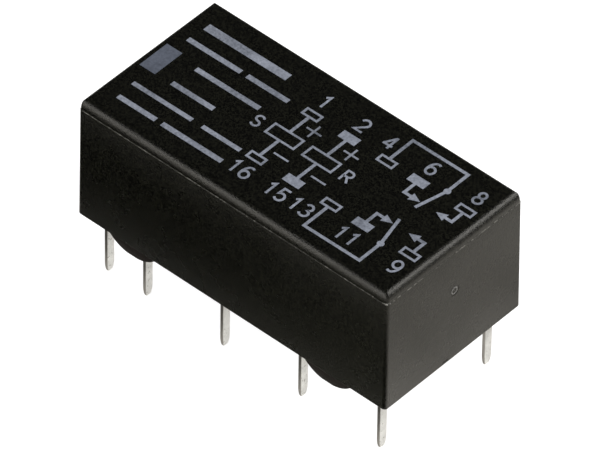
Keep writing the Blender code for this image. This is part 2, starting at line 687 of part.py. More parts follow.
def wire_grooves():
    """Cutters for the grooves that let the inner winding's ends out past the left flange."""
    half = WIRE_GROOVE_WIDTH / 2
    grooves = []
    for side in SIDES:
        low = (LEFT_FLANGE_X - WIRE_GROOVE_DEPTH, side * CORE_THICKNESS / 2, LEAD_Z - half)
        high = (LEFT_FLANGE_X + FIT_GAP / 2, side * FLANGE_WIDTH, LEAD_Z + half)
        grooves.append(box("wire_groove", low, high))
    return grooves


def make_bobbin():
    """Spool with two flanges, and a bracket over the armature for its upper pivot."""
    outer_y, outer_z = tube_half(FIT_GAP + SPOOL_WALL)
    ends = (SPOOL_LEFT_END + FIT_GAP, SPOOL_RIGHT_END - FIT_GAP)
    radius = WINDING_CORNER_RADIUS / 2
    spool = loft("bobbin", [x_rectangle(outer_y, outer_z, radius, x) for x in ends])
    half = FLANGE_WIDTH / 2
    flanges = []
    for x in (SPOOL_LEFT_END, RIGHT_FLANGE_X):
        flange = box("flange", (x, -half, COIL_LOW_Z), (x + FLANGE_THICKNESS, half, COIL_HIGH_Z))
        flanges.append(soften(flange, 2 * FIT_GAP))
    join(spool, *flanges, *make_bracket())
    bore_y, bore_z = tube_half(FIT_GAP)
    bore = box("core_bore", (SPOOL_LEFT_END - MM, -bore_y, COIL_Z - bore_z),
               (SPOOL_RIGHT_END + MM, bore_y, COIL_Z + bore_z))
    bearing = rod("upper_bearing", PIVOT_RADIUS + BEARING_CLEARANCE, (PIVOT_X, 0, BRACKET_Z - MM),
                  (PIVOT_X, 0, COIL_HIGH_Z + MM), BEARING_SIDES)
    return part(cut(spool, bore, bearing, *wire_grooves()), WHITE_PLASTIC)


def post_wrap(post_x, side):
    """Turns of a lead round its post, which start on the post's inner side."""
    across = PIN_THICKNESS / 2 + WIRE_RADIUS + WRAP_CLEARANCE
    along = COIL_POST_WIDTH / 2 + WIRE_RADIUS + WRAP_CLEARANCE
    start_z = BASE_TOP_Z + COIL_POST_HEIGHT - WRAP_DROP
    points = []
    for step in range(WRAP_TURNS * WRAP_STEPS + 1):
        turns = step / WRAP_STEPS
        angle = turns * 2 * pi
        points.append((post_x - across * sin(angle), side * (ROW_Y - along * cos(angle)),
                       start_z + WRAP_PITCH * turns))
    return points


def make_lead(start, number, side):
    """Lead that leaves a winding, passes under the yoke and is wrapped on a terminal's post."""
    wrap = post_wrap(grid_x(number), side)
    first_x, first_y, first_z = wrap[0]
    under_yoke = (start[-1][0], side * YOKE_OUTER_Y, LEAD_Z)
    run_in = (first_x + 2 * WRAP_CLEARANCE, first_y - side * WRAP_CLEARANCE, first_z)
    return wire("lead", [*start, under_yoke, run_in, *wrap], WIRE_RADIUS)


def inner_lead_start(side):
    """First points of an inner lead: out of the winding's end and into the flange's groove."""
    inside_x = LEFT_FLANGE_X + 2 * FIT_GAP
    groove_x = LEFT_FLANGE_X - WIRE_GROOVE_DEPTH / 2
    y = CORE_THICKNESS / 2 + 2 * WIRE_GROOVE_WIDTH
    return [(inside_x, side * y, LEAD_Z), (groove_x, side * (y + WIRE_GROOVE_WIDTH / 2), LEAD_Z),
            (groove_x, side * FLANGE_WIDTH / 2, LEAD_Z)]


def outer_lead_start(side):
    """First points of an outer lead: straight out of the winding's side."""
    x = grid_x(2) + WRAP_DROP
    y = tube_half(RESET_WALL + WINDING_BUILD / 2)[0]
    return [(x, side * y, LEAD_Z), (x, side * FLANGE_WIDTH / 2, LEAD_Z)]


def make_winding(name, inner_wall, number, lead_start):
    """Sleeve of wire between the flanges, with its two ends led to their terminals."""
    start = LEFT_FLANGE_X + FIT_GAP
    end = RIGHT_FLANGE_X - FIT_GAP
    inner = tube_half(inner_wall)
    outer = tube_half(inner_wall + WINDING_BUILD)
    rings = [x_rectangle(*inner, WINDING_CORNER_RADIUS / 2, x) for x in (end, start)]
    rings += [x_rectangle(*outer, WINDING_CORNER_RADIUS, x) for x in (start, end)]
    sleeve = loft(name, rings, closed=True)
    leads = [make_lead(lead_start(side), number, side) for side in SIDES]
    return part(join(sleeve, *leads), COPPER)


def make_core():
    """Flat bar whose left end is riveted into the yoke and whose right end is the middle pole."""
    half = CORE_THICKNESS / 2
    outline = [(YOKE_LEFT_X, -half), (POLE_END_X, -half), (POLE_END_X, half), (YOKE_LEFT_X, half)]
    return part(stamping("core", outline, CORE_HEIGHT, "XY", COIL_Z), IRON)


def make_yoke():
    """U in plan: a bridge behind the spool, two limbs, and two poles outside the armature."""
    pole_x = SPOOL_RIGHT_END + FIT_GAP
    bend_x = YOKE_LEFT_X + YOKE_BEND_RADIUS
    bend = arc((bend_x, YOKE_OUTER_Y - YOKE_BEND_RADIUS), YOKE_BEND_RADIUS, pi, pi / 2, BEND_STEPS)
    upper = [*bend, (POLE_END_X - YOKE_THICKNESS, YOKE_OUTER_Y),
             (POLE_END_X, POLE_Y + YOKE_THICKNESS), (POLE_END_X, POLE_Y), (pole_x, POLE_Y),
             (pole_x, YOKE_Y), (YOKE_LEFT_X + YOKE_BRIDGE_THICKNESS, YOKE_Y)]
    outline = upper + [(x, -y) for x, y in reversed(upper)]
    yoke = stamping("yoke", outline, IRON_HEIGHT, "XY", COIL_Z)
    half_y, half_z = tube_half(WELD_GAP)
    window = box("core_window", (YOKE_LEFT_X - MM, -half_y, COIL_Z - half_z),
                 (YOKE_LEFT_X + YOKE_BRIDGE_THICKNESS + FIT_GAP, half_y, COIL_Z + half_z))
    return part(cut(yoke, window), IRON)


def swing_axis(name, x, y, angle):
    """Empty on a joint's axis, turned from the middle of the stroke to the rest position."""
    axis = bpy.data.objects.new(name, None)
    axis.location = (x, y, 0)
    axis.rotation_euler = (0, 0, angle)
    PARTS.objects.link(axis)
    return axis


def carry(axis, obj):
    """Hang a shape, with the shapes that cut or join it, on a joint's axis."""
    tools = [modifier.object for modifier in obj.modifiers if modifier.type == "BOOLEAN"]
    for shape in [obj, *tools]:
        shape.parent = axis
        shape.matrix_parent_inverse = Matrix.Translation(-axis.location)


def make_armature():
    axis = swing_axis("armature_axis", PIVOT_X, 0, -HALF_TRAVEL)
    half_iron = IRON_HEIGHT / 2
    for name, side in (("armature_plate_front", FRONT), ("armature_plate_rear", REAR)):
        plate = box(name, (PLATE_START_X, side * PLATE_Y, COIL_Z - half_iron),
                    (PLATE_END_X, side * (PLATE_Y + PLATE_THICKNESS), COIL_Z + half_iron))
        carry(axis, part(soften(plate, FIT_GAP), IRON))
    magnet_y = PLATE_Y - WELD_GAP
    half_magnet = MAGNET_HEIGHT / 2
    magnet = box("permanent_magnet", (MAGNET_START_X, -magnet_y, COIL_Z - half_magnet),
                 (PLATE_END_X - FIT_GAP, magnet_y, COIL_Z + half_magnet))
    carry(axis, part(soften(magnet, FIT_GAP), MAGNET))
    carry(axis, make_carrier())


def make_cross_bar():
    """Bar under both springs, with two nibs that stand on either side of each blade."""
    bar_half = BLADE_OFFSET_Y + BLADE_THICKNESS / 2 + NIB_CLEARANCE + NIB_THICKNESS + FIT_GAP
    bar_top = LOWER_SLAB_TOP_Z - FIT_GAP
    bar_left, bar_right = PUSH_X - CROSS_BAR_WIDTH / 2, PUSH_X + CROSS_BAR_WIDTH / 2
    bar = box("cross_bar", (bar_left, -bar_half, LOWER_SLAB_Z + FIT_GAP), (bar_right, bar_half, bar_top))
    shapes = [bar]
    for side in SIDES:
        for outward in (-1, 1):
            near = BLADE_OFFSET_Y + outward * (BLADE_THICKNESS / 2 + NIB_CLEARANCE)
            far = near + outward * NIB_THICKNESS
            shapes.append(box("nib", (PUSH_X - NIB_LENGTH / 2, side * near, bar_top - FIT_GAP),
                              (PUSH_X + NIB_LENGTH / 2, side * far, NIB_TOP_Z)))
    return shapes


def make_carrier():
    """Moulded clip over the plates and magnet, with a pivot at each end and a cross bar."""
    wall_x = PLATE_END_X + FIT_GAP
    end_x = wall_x + END_WALL_THICKNESS
    outline = [(SLAB_START_X, LOWER_SLAB_Z), (end_x, LOWER_SLAB_Z), (end_x, UPPER_SLAB_TOP_Z),
               (SLAB_START_X, UPPER_SLAB_TOP_Z), (SLAB_START_X, UPPER_SLAB_Z), (wall_x, UPPER_SLAB_Z),
               (wall_x, LOWER_SLAB_TOP_Z), (SLAB_START_X, LOWER_SLAB_TOP_Z)]
    carrier = stamping("armature_carrier", outline, SLAB_WIDTH, "XZ", 0)
    lower_end = LOWER_SLAB_Z - FIT_GAP - PIVOT_BEARING_LENGTH
    lower_pivot = rod("lower_pivot", PIVOT_RADIUS, (PIVOT_X, 0, lower_end),
                      (PIVOT_X, 0, LOWER_SLAB_Z + FIT_GAP), BEARING_SIDES)
    upper_pivot = rod("upper_pivot", PIVOT_RADIUS, (PIVOT_X, 0, UPPER_SLAB_TOP_Z - FIT_GAP),
                      (PIVOT_X, 0, COIL_HIGH_Z - 2 * FIT_GAP), BEARING_SIDES)
    return part(join(carrier, *make_cross_bar(), lower_pivot, upper_pivot), CARRIER_PLASTIC)


def blade_outline():
    """Spring blade seen along Y: narrow welded root, then two prongs with a slit between."""
    root_x = COMMON_ANCHOR_X - BLADE_ROOT_LAP
    shoulder_x = COMMON_ANCHOR_X + BLADE_ROOT_LAP
    end_x = CONTACT_X + BLADE_OVERHANG
    slit_x = end_x - SLIT_LENGTH
    upper = [(root_x, BLADE_ROOT_HEIGHT / 2), (shoulder_x, BLADE_ROOT_HEIGHT / 2),
             (shoulder_x + BLADE_ROOT_LAP, BLADE_HEIGHT / 2), (end_x, BLADE_HEIGHT / 2),
             (end_x, SLIT_WIDTH / 2), (slit_x, SLIT_WIDTH / 2)]
    outline = upper + [(x, -z) for x, z in reversed(upper)]
    return [(x, COIL_Z + z) for x, z in outline]


def make_rivet(name, y, z):
    """Contact rivet turned about Y: a head on each face of the blade and a shank between."""
    face = BLADE_THICKNESS / 2 + WELD_GAP
    head = BLADE_THICKNESS / 2 + CONTACT_HEAD
    crown = CONTACT_RADIUS * CROWN_IN_CONTACT
    profile = [(0, head), (crown, head), (CONTACT_RADIUS, head - CONTACT_HEAD / 2),
               (CONTACT_RADIUS, face), (CONTACT_SHANK_RADIUS, face)]
    profile += [(radius, -height) for radius, height in reversed(profile)]
    mesh = bpy.data.meshes.new(name)
    mesh.from_pydata([(radius, 0, height) for radius, height in profile],
                     [(index, index + 1) for index in range(len(profile) - 1)], [])
    rivet = new_object(name, mesh)
    screw = rivet.modifiers.new("turn", "SCREW")
    screw.steps = RIVET_SIDES
    screw.render_steps = RIVET_SIDES
    screw.use_merge_vertices = True
    screw.merge_threshold = 0.001 * MM
    rivet.rotation_euler = (pi / 2, 0, 0)
    rivet.location = (CONTACT_X, y, z)
    return part(rivet, SILVER)


def make_spring(place, side):
    """One blade with its two rivets, turned to rest on the normally closed contact."""
    y = side * BLADE_OFFSET_Y
    axis = swing_axis("spring_axis_" + place, COMMON_ANCHOR_X, y, -SPRING_HALF_TRAVEL)
    blade = stamping("contact_spring_" + place, blade_outline(), BLADE_THICKNESS, "XZ", y)
    hole_radius = CONTACT_SHANK_RADIUS + WELD_GAP
    holes = []
    for level, sign in (("upper", 1), ("lower", -1)):
        z = COIL_Z + sign * PRONG_OFFSET_Z
        start, end = (CONTACT_X, y - BLADE_THICKNESS, z), (CONTACT_X, y + BLADE_THICKNESS, z)
        holes.append(rod("rivet_hole", hole_radius, start, end, RIVET_SIDES))
        carry(axis, make_rivet("moving_contact_" + place + "_" + level, y, z))
    carry(axis, part(cut(blade, *holes), SPRING_METAL))


SLOTS = terminal_slots()
make_cover()
make_base(SLOTS)
make_resin(SLOTS)
make_terminals()
make_fixed_contacts()
make_bobbin()
make_winding("set_winding", SET_WALL, 1, inner_lead_start)
make_winding("reset_winding", RESET_WALL, 2, outer_lead_start)
make_core()
make_yoke()
make_armature()
make_spring("front", FRONT)
make_spring("rear", REAR)
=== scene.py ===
# %% [markdown]
# # A sealed relay for a printed circuit board
# The real thing is a black moulded box, 20 mm long, that stands on ten tinned pins. Inside it
# a small coil swings an iron armature, which pushes two springs from one contact to the other.
# The CAD model already holds every working part in its right place. This lesson dresses it:
# finer edges, moulded plastic, tinned pins, the print on the lid and a plain studio round it.

# %% Load the CAD frame
import json
from math import atan2, cos, pi, radians, sin

import bmesh
import bpy
from mathutils import Matrix, Vector


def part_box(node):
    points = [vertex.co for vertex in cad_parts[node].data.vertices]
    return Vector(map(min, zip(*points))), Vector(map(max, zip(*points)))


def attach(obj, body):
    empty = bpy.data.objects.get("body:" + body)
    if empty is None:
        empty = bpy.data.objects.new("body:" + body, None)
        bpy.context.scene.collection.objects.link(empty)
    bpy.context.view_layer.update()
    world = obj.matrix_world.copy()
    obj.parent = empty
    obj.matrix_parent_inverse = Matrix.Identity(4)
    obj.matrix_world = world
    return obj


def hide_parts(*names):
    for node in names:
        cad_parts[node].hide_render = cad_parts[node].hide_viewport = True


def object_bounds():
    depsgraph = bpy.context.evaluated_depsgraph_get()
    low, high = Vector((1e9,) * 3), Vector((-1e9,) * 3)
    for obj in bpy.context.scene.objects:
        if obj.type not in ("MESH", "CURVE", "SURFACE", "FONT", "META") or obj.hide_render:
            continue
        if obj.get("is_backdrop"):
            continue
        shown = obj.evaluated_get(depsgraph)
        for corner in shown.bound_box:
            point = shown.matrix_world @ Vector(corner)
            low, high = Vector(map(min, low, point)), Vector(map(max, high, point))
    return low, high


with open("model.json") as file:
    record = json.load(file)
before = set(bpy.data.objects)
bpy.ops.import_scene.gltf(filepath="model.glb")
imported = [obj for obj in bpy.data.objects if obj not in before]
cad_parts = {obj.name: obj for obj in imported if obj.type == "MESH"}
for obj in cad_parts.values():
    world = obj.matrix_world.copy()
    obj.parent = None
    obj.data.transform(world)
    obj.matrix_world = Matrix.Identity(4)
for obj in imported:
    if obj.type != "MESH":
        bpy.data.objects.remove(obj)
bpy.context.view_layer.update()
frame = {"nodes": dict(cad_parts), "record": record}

MM = 0.001
nodes = frame["nodes"]

# %% [markdown]
# The lid's own box gives the heights that everything else hangs on. A size that the CAD
# already holds is read from it, so the dressing follows the model when the model changes.

# %% Sizes that the CAD gives
lid_low, lid_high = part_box("cover")
LENGTH = lid_high.x - lid_low.x
WIDTH = lid_high.y - lid_low.y
RIM_Z, TOP_Z = lid_low.z, lid_high.z
RESIN_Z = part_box("sealing_resin")[0].z
print("lid:", round(LENGTH / MM, 2), "x", round(WIDTH / MM, 2), "mm, rim at", round(RIM_Z / MM, 2), "mm")

# %% [markdown]
# ## The camera
# A small object that is shot from far away with a long lens shows almost no perspective: its
# long edges stay nearly parallel. So the camera stands about half a metre off, looks down
# at 44 degrees over the right front corner, and is tilted by less than a degree. Sliding it
# sideways, square to its own view, frames the object without turning it.

# %% Camera
AIM = Vector((0, 0, 8.0)) * MM
AZIMUTH, ELEVATION, TILT = radians(41.45), radians(44.39), radians(0.87)
CAMERA_DISTANCE = 484.4 * MM
FOCAL_LENGTH = 604.9
SENSOR_WIDTH = 36.0
SLIDE_RIGHT, SLIDE_UP = 0.055 * MM, -1.303 * MM


def link(obj):
    bpy.context.scene.collection.objects.link(obj)
    return obj


away = Vector((sin(AZIMUTH) * cos(ELEVATION), -cos(AZIMUTH) * cos(ELEVATION), sin(ELEVATION)))
level_right = Vector((cos(AZIMUTH), sin(AZIMUTH), 0))
level_up = away.cross(level_right)
right = level_right * cos(TILT) + level_up * sin(TILT)
up = level_up * cos(TILT) - level_right * sin(TILT)

lens = bpy.data.cameras.new("camera")
lens.lens = FOCAL_LENGTH
lens.sensor_width = SENSOR_WIDTH
camera = link(bpy.data.objects.new("camera", lens))
turn = Matrix((right, up, away)).transposed().to_4x4()
place = AIM + away * CAMERA_DISTANCE + right * SLIDE_RIGHT + up * SLIDE_UP
camera.matrix_world = Matrix.Translation(place) @ turn
bpy.context.scene.camera = camera
bpy.context.scene.view_settings.view_transform = "Standard"
print("camera stands", round(CAMERA_DISTANCE / MM), "mm away")

# %% [markdown]
# ## Wiring shader nodes by script
# A node is easier to read in a script when it is made, set and wired in one line. `add` does
# that: a value may be a number, a colour or the output of another node. The three short
# helpers below it wrap the nodes that come up in almost every material.

# %% Node helpers


def add(tree, kind, values=None, **settings):
    node = tree.nodes.new(kind)
    for name, value in settings.items():
        setattr(node, name, value)
    for socket, value in (values or {}).items():
        if isinstance(value, bpy.types.NodeSocket):
            tree.links.new(value, node.inputs[socket])
        else:
            node.inputs[socket].default_value = value
    return node


def calculate(tree, operation, first, second=0.0):
    return add(tree, "ShaderNodeMath", {0: first, 1: second}, operation=operation).outputs[0]


def spread(tree, value, from_low, from_high, to_low, to_high):
    """Stretch one range of values over another, and stop at its ends."""
    ranges = {0: value, 1: from_low, 2: from_high, 3: to_low, 4: to_high}
    return add(tree, "ShaderNodeMapRange", ranges).outputs[0]


def mix_colours(tree, amount, first, second):
    node = add(tree, "ShaderNodeMix", {0: amount}, data_type="RGBA")
    for socket, colour in ((node.inputs[6], first), (node.inputs[7], second)):
        if isinstance(colour, bpy.types.NodeSocket):
            tree.links.new(colour, socket)
        else:
            socket.default_value = (*colour, 1.0)
    return node.outputs[2]


def noise(tree, place, scale, detail=2.0, roughness=0.5):
    values = {"Vector": place, "Scale": scale, "Detail": detail, "Roughness": roughness}
    return add(tree, "ShaderNodeTexNoise", values).outputs[0]


# %% [markdown]
# ## The studio
# A catalogue photograph of black plastic is lit by what the plastic reflects. Its own colour
# is nearly nothing, so a face is black where it mirrors something dark and grey where it
# mirrors something white. Here the table is white to the right of the relay and gives the end
# its grey, partly because it is lit and partly through a painted glow. A black card lies in
# front and keeps the long side deep black; the ceiling is dark, so the lid stays black. Two
# soft boxes, low at the left front and at the right back, draw the pale lines along the rounded
# edges of the lid.
#
# The background is white because the floor and the world say so to camera rays alone, not
# because more light falls on the object. The floor still takes the object's shadow. What the
# pins and the case mirror is this floor too, lit, with a painted glow added: strongest close
# to the relay and again further out, weaker between, with a painted shade behind the relay.
# It fades into the dark after a few centimetres, and far in front a painted pool of light
# lies on it. Its lit part keeps the shadow, so the shadow shows in them.

# %% World and floor
AMBIENT = 0.62
DARK_CEILING = 0.052
FLOOR_SIZE = 6.0
FLOOR_WHITE = (0.80, 0.80, 0.80, 1)
FLOOR_TOP_UP = 0.82
MIRRORED_WHITE = (0.62, 0.59, 0.54, 1)
MIRRORED_TINT = (1.0, 0.97, 0.91, 1)
NEAR_TOP_UP, MIDDLE_TOP_UP, FAR_TOP_UP = 0.65, 0.22, 0.63
NEAR_TABLE, MIDDLE_TABLE, FAR_TABLE = 10.3 * MM, 15.5 * MM, 23.0 * MM
SHADE_START_Y, SHADE_FULL_Y = 3 * MM, 8 * MM
SHADE = 0.20
TABLE_GLOW_RADIUS = 20 * MM
TABLE_GLOW_FADE = 36 * MM
POOL_START_Y, POOL_FULL_Y = -34 * MM, -48 * MM
POOL_OF_LIGHT = 1.6

world = bpy.data.worlds.new("studio")
bpy.context.scene.world = world
world.use_nodes = True
tree = world.node_tree
tree.nodes.clear()
rays = add(tree, "ShaderNodeLightPath")


def background(strength):
    return add(tree, "ShaderNodeBackground", {"Color": (1, 1, 1, 1), "Strength": strength}).outputs[0]


seen_by_gloss = add(tree, "ShaderNodeMixShader", {0: rays.outputs["Is Glossy Ray"],
                                                  1: background(AMBIENT), 2: background(DARK_CEILING)})
seen = add(tree, "ShaderNodeMixShader", {0: rays.outputs["Is Camera Ray"],
                                         1: seen_by_gloss.outputs[0], 2: background(1.0)})
add(tree, "ShaderNodeOutputWorld", {"Surface": seen.outputs[0]})

floor_material = bpy.data.materials.new("pale_table")
floor_material.use_nodes = True
tree = floor_material.node_tree
tree.nodes.clear()
rays = add(tree, "ShaderNodeLightPath")
place = add(tree, "ShaderNodeTexCoord").outputs["Object"]
from_middle = add(tree, "ShaderNodeVectorMath", {0: place}, operation="LENGTH").outputs["Value"]
glow = spread(tree, from_middle, TABLE_GLOW_RADIUS, TABLE_GLOW_RADIUS + TABLE_GLOW_FADE, 1.0, 0.0)


def lit_table(colour, strength=0.0, tint=(1, 1, 1, 1)):
    """Table that the lamps light, topped up with a little glow of its own."""
    lit = add(tree, "ShaderNodeBsdfDiffuse", {"Color": colour}).outputs[0]
    emission = add(tree, "ShaderNodeEmission", {"Color": tint, "Strength": strength}).outputs[0]
    return add(tree, "ShaderNodeAddShader", {0: lit, 1: emission}).outputs[0]


dark = add(tree, "ShaderNodeEmission", {"Strength": DARK_CEILING}).outputs[0]
# Painted reflection: for reflections the table glows by its distance from the relay, lit by no lamp.
near_part = spread(tree, from_middle, NEAR_TABLE, MIDDLE_TABLE, NEAR_TOP_UP, MIDDLE_TOP_UP)
far_part = spread(tree, from_middle, MIDDLE_TABLE, FAR_TABLE, 0.0, FAR_TOP_UP - MIDDLE_TOP_UP)
along_y = add(tree, "ShaderNodeSeparateXYZ", {0: place}).outputs["Y"]
# Painted shade: the glow is weaker behind the relay.
shade = calculate(tree, "MULTIPLY", spread(tree, along_y, SHADE_START_Y, SHADE_FULL_Y, 0.0, SHADE),
                  spread(tree, from_middle, MIDDLE_TABLE, FAR_TABLE, 1.0, 0.0))
top_up = calculate(tree, "SUBTRACT", calculate(tree, "ADD", near_part, far_part), shade)
around = add(tree, "ShaderNodeMixShader", {0: glow, 1: dark, 2: lit_table(MIRRORED_WHITE, top_up, MIRRORED_TINT)})
# Painted pool of light far in front; no lamp throws it.
pool = spread(tree, along_y, POOL_FULL_Y, POOL_START_Y, POOL_OF_LIGHT, 0.0)
pool = add(tree, "ShaderNodeEmission", {"Color": MIRRORED_TINT, "Strength": pool}).outputs[0]
mirrored = add(tree, "ShaderNodeAddShader", {0: around.outputs[0], 1: pool})
for_camera = add(tree, "ShaderNodeMixShader", {0: rays.outputs["Is Camera Ray"], 1: lit_table(FLOOR_WHITE),
                                               2: lit_table(FLOOR_WHITE, FLOOR_TOP_UP)})
for_gloss = add(tree, "ShaderNodeMixShader", {0: rays.outputs["Is Glossy Ray"],
                                              1: for_camera.outputs[0], 2: mirrored.outputs[0]})
add(tree, "ShaderNodeOutputMaterial", {"Surface": for_gloss.outputs[0]})


def sheet_on_table(name, low_x, high_x, low_y, high_y, z, material):
    """Flat rectangle that is part of the studio."""
    mesh = bpy.data.meshes.new(name)
    corners = [(low_x, low_y, z), (high_x, low_y, z), (high_x, high_y, z), (low_x, high_y, z)]
    mesh.from_pydata(corners, [], [(0, 1, 2, 3)])
    mesh.materials.append(material)
    sheet = link(bpy.data.objects.new(name, mesh))
    sheet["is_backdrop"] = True
    return sheet


half = FLOOR_SIZE / 2
sheet_on_table("floor", -half, half, -half, half, 0.0, floor_material)
print("floor:", FLOOR_SIZE, "m square")

# %% [markdown]
# The card is seen by reflections alone. It throws no shadow and the camera looks through it,
# as if it had been slid out of the frame. Its colour is a painted reflection: paler along its
# long edges and paler towards the right, though that paling stops short of its right end. So
# the long side of the relay, which mirrors it, grows a shade paler towards its lower edge and
# towards its front corner.

# %% Black card
CARD_START_Y, CARD_END_Y = -5.3 * MM, -28 * MM
CARD_LEFT_X, CARD_RIGHT_X = -60 * MM, 20 * MM
CARD_LIFT = 0.05 * MM
CARD_BLACK = 0.001
# How much paler the painted reflection makes the card along each edge and towards the right.
EDGE_REFLECTION, FAR_EDGE_REFLECTION, RIGHT_REFLECTION = 0.05, 0.04, 0.110

card_material = bpy.data.materials.new("black_card")
card_material.use_nodes = True
tree = card_material.node_tree
card_shader = tree.nodes["Principled BSDF"]
card_shader.inputs["Roughness"].default_value = 0.9
card_shader.inputs["Specular IOR Level"].default_value = 0.0
place = add(tree, "ShaderNodeSeparateXYZ", {0: add(tree, "ShaderNodeTexCoord").outputs["Object"]}).outputs
# Painted reflection: the card grows paler where the long side of the relay should mirror more light.
near_edge = spread(tree, place["Y"], -10.6 * MM, -7.8 * MM, 0.0, 1.0)
painted_edge_reflection = calculate(tree, "MULTIPLY", calculate(tree, "POWER", near_edge, 2.0), EDGE_REFLECTION)
painted_right_reflection = spread(tree, place["X"], -7 * MM, 3 * MM, CARD_BLACK, RIGHT_REFLECTION)
dark_right_tip = spread(tree, place["X"], 8 * MM, 10 * MM, RIGHT_REFLECTION, CARD_BLACK)
painted_right_reflection = calculate(tree, "MINIMUM", painted_right_reflection, dark_right_tip)
painted_far_reflection = spread(tree, place["Y"], CARD_END_Y, -19 * MM, FAR_EDGE_REFLECTION, 0.0)
painted_reflection = calculate(tree, "ADD", calculate(tree, "ADD", painted_edge_reflection, painted_right_reflection), painted_far_reflection)
tree.links.new(add(tree, "ShaderNodeCombineColor", {0: painted_reflection, 1: painted_reflection, 2: calculate(tree, "MULTIPLY", painted_reflection, 0.8)}
                   ).outputs[0], card_shader.inputs["Base Color"])
card = sheet_on_table("black_card", CARD_LEFT_X, CARD_RIGHT_X, CARD_END_Y, CARD_START_Y, CARD_LIFT, card_material)
card.visible_camera = False
card.visible_diffuse = False
card.visible_transmission = False
card.visible_shadow = False

# %% Soft boxes
LAMP_DISTANCE = 0.5


def soft_box(name, direction, width, height, radiance):
    """Area lamp whose face shines with the given radiance, where 1 is white paper in full light."""
    lamp = bpy.data.lights.new(name, "AREA")
    lamp.shape = "RECTANGLE"
    lamp.size, lamp.size_y = width, height
    lamp.energy = radiance * pi * width * height
    box = link(bpy.data.objects.new(name, lamp))
    direction = Vector(direction).normalized()
    box.location = AIM + direction * LAMP_DISTANCE
    box.rotation_euler = direction.to_track_quat("Z", "Y").to_euler()
    box.visible_camera = False
    return box


soft_box("soft_box_left_front", (-0.475, -0.870, 0.095), 0.36, 0.10, 4.0)
soft_box("soft_box_right_back", (0.768, 0.536, 0.345), 0.36, 0.20, 5.4)
print("two soft boxes at", LAMP_DISTANCE, "m")

# %% [markdown]
# ## Finishes that several pieces share
# Two effects come back on many pieces, so each is one group of nodes with named inputs.
#
# `moulded_grain` is the skin of moulded plastic. A mould is spark eroded, which leaves fine
# pits, and the melt flows in unevenly, which leaves broad cloudy patches. The group gives both
# as masks from 0 to 1, and a height that mixes them.
#
# `rolled_strip` is the skin of metal that came off a roll: long fine scratches one way, and
# cloudy patches where the plating lies thicker.

# %% Shared groups of nodes


def new_group(name, inputs, outputs):
    """Empty shader node group with named numbers going in and masks coming out."""
    group = bpy.data.node_groups.new(name, "ShaderNodeTree")
    for label, value in inputs.items():
        socket = group.interface.new_socket(name=label, in_out="INPUT", socket_type="NodeSocketFloat")
        socket.default_value = value
    for label in outputs:
        group.interface.new_socket(name=label, in_out="OUTPUT", socket_type="NodeSocketFloat")
    given = group.nodes.new("NodeGroupInput")
    place = group.nodes.new("ShaderNodeTexCoord").outputs["Object"]
    return group, given.outputs, place


def finish_group(group, results):
    add(group, "NodeGroupOutput", results)
    return group


grain_group, given, place = new_group("moulded_grain", {"Pits per metre": 12000, "Patches per metre": 600,
                                                        "Pit share": 0.7}, ["Pits", "Patches", "Height"])
pits = spread(grain_group, noise(grain_group, place, given["Pits per metre"], 3.0, 0.65), 0.3, 0.7, 0.0, 1.0)
patches = spread(grain_group, noise(grain_group, place, given["Patches per metre"], 4.0, 0.6), 0.3, 0.7, 0.0, 1.0)
fine = calculate(grain_group, "MULTIPLY", pits, given["Pit share"])
broad = calculate(grain_group, "MULTIPLY", patches, calculate(grain_group, "SUBTRACT", 1.0, given["Pit share"]))
height = calculate(grain_group, "ADD", fine, broad)
finish_group(grain_group, {"Pits": pits, "Patches": patches, "Height": height})

strip_group, given, place = new_group("rolled_strip", {"Scratches per metre": 26000, "Stretch along X": 1.0,
                                                       "Stretch along Z": 0.05, "Patches per metre": 2500},
                                      ["Scratches", "Patches"])
stretch = add(strip_group, "ShaderNodeCombineXYZ", {"X": given["Stretch along X"], "Y": 1.0,
                                                    "Z": given["Stretch along Z"]}).outputs[0]
drawn = add(strip_group, "ShaderNodeVectorMath", {0: place, 1: stretch}, operation="MULTIPLY").outputs[0]
scratches = spread(strip_group, noise(strip_group, drawn, given["Scratches per metre"], 3.0, 0.6), 0.3, 0.7, 0.0, 1.0)
patches = spread(strip_group, noise(strip_group, place, given["Patches per metre"], 3.0, 0.55), 0.3, 0.7, 0.0, 1.0)
finish_group(strip_group, {"Scratches": scratches, "Patches": patches})
print("groups:", grain_group.name, "and", strip_group.name)

# %% [markdown]
# A material starts from the shader's own sockets for whatever is the same all over, and only
# what changes over the surface is wired. `start_material` does the first half.

# %% Material helpers


def start_material(name, roughness=0.5, metallic=0.0):
    material = bpy.data.materials.new(name)
    material.use_nodes = True
    shader = material.node_tree.nodes["Principled BSDF"]
    shader.inputs["Roughness"].default_value = roughness
    shader.inputs["Metallic"].default_value = metallic
    return material, material.node_tree, shader


def use_group(tree, group, values=None):
    node = add(tree, "ShaderNodeGroup", node_tree=group)
    for label, value in (values or {}).items():
        node.inputs[label].default_value = value
    return node.outputs


def wire_up(tree, shader, colour=None, roughness=None, height=None, relief=0.0):
    """Feed the shader with what changes over the surface; relief is the bump's height in metres."""
    if colour is not None:
        tree.links.new(colour, shader.inputs["Base Color"])
    if roughness is not None:
        tree.links.new(roughness, shader.inputs["Roughness"])
    if height is not None:
        bump = add(tree, "ShaderNodeBump", {"Strength": 1.0, "Distance": relief, "Height": height})
        tree.links.new(bump.outputs[0], shader.inputs["Normal"])


def moulded_plastic(name, dark, light, smooth, rough, relief, grain=None):
    """Plastic whose pits vary its colour and whose patches vary its gloss."""
    material, tree, shader = start_material(name)
    skin = use_group(tree, grain_group, grain)
    colour = mix_colours(tree, skin["Pits"], dark, light)
    roughness = spread(tree, skin["Patches"], 0.0, 1.0, smooth, rough)
    wire_up(tree, shader, colour, roughness, skin["Height"], relief)
    return material


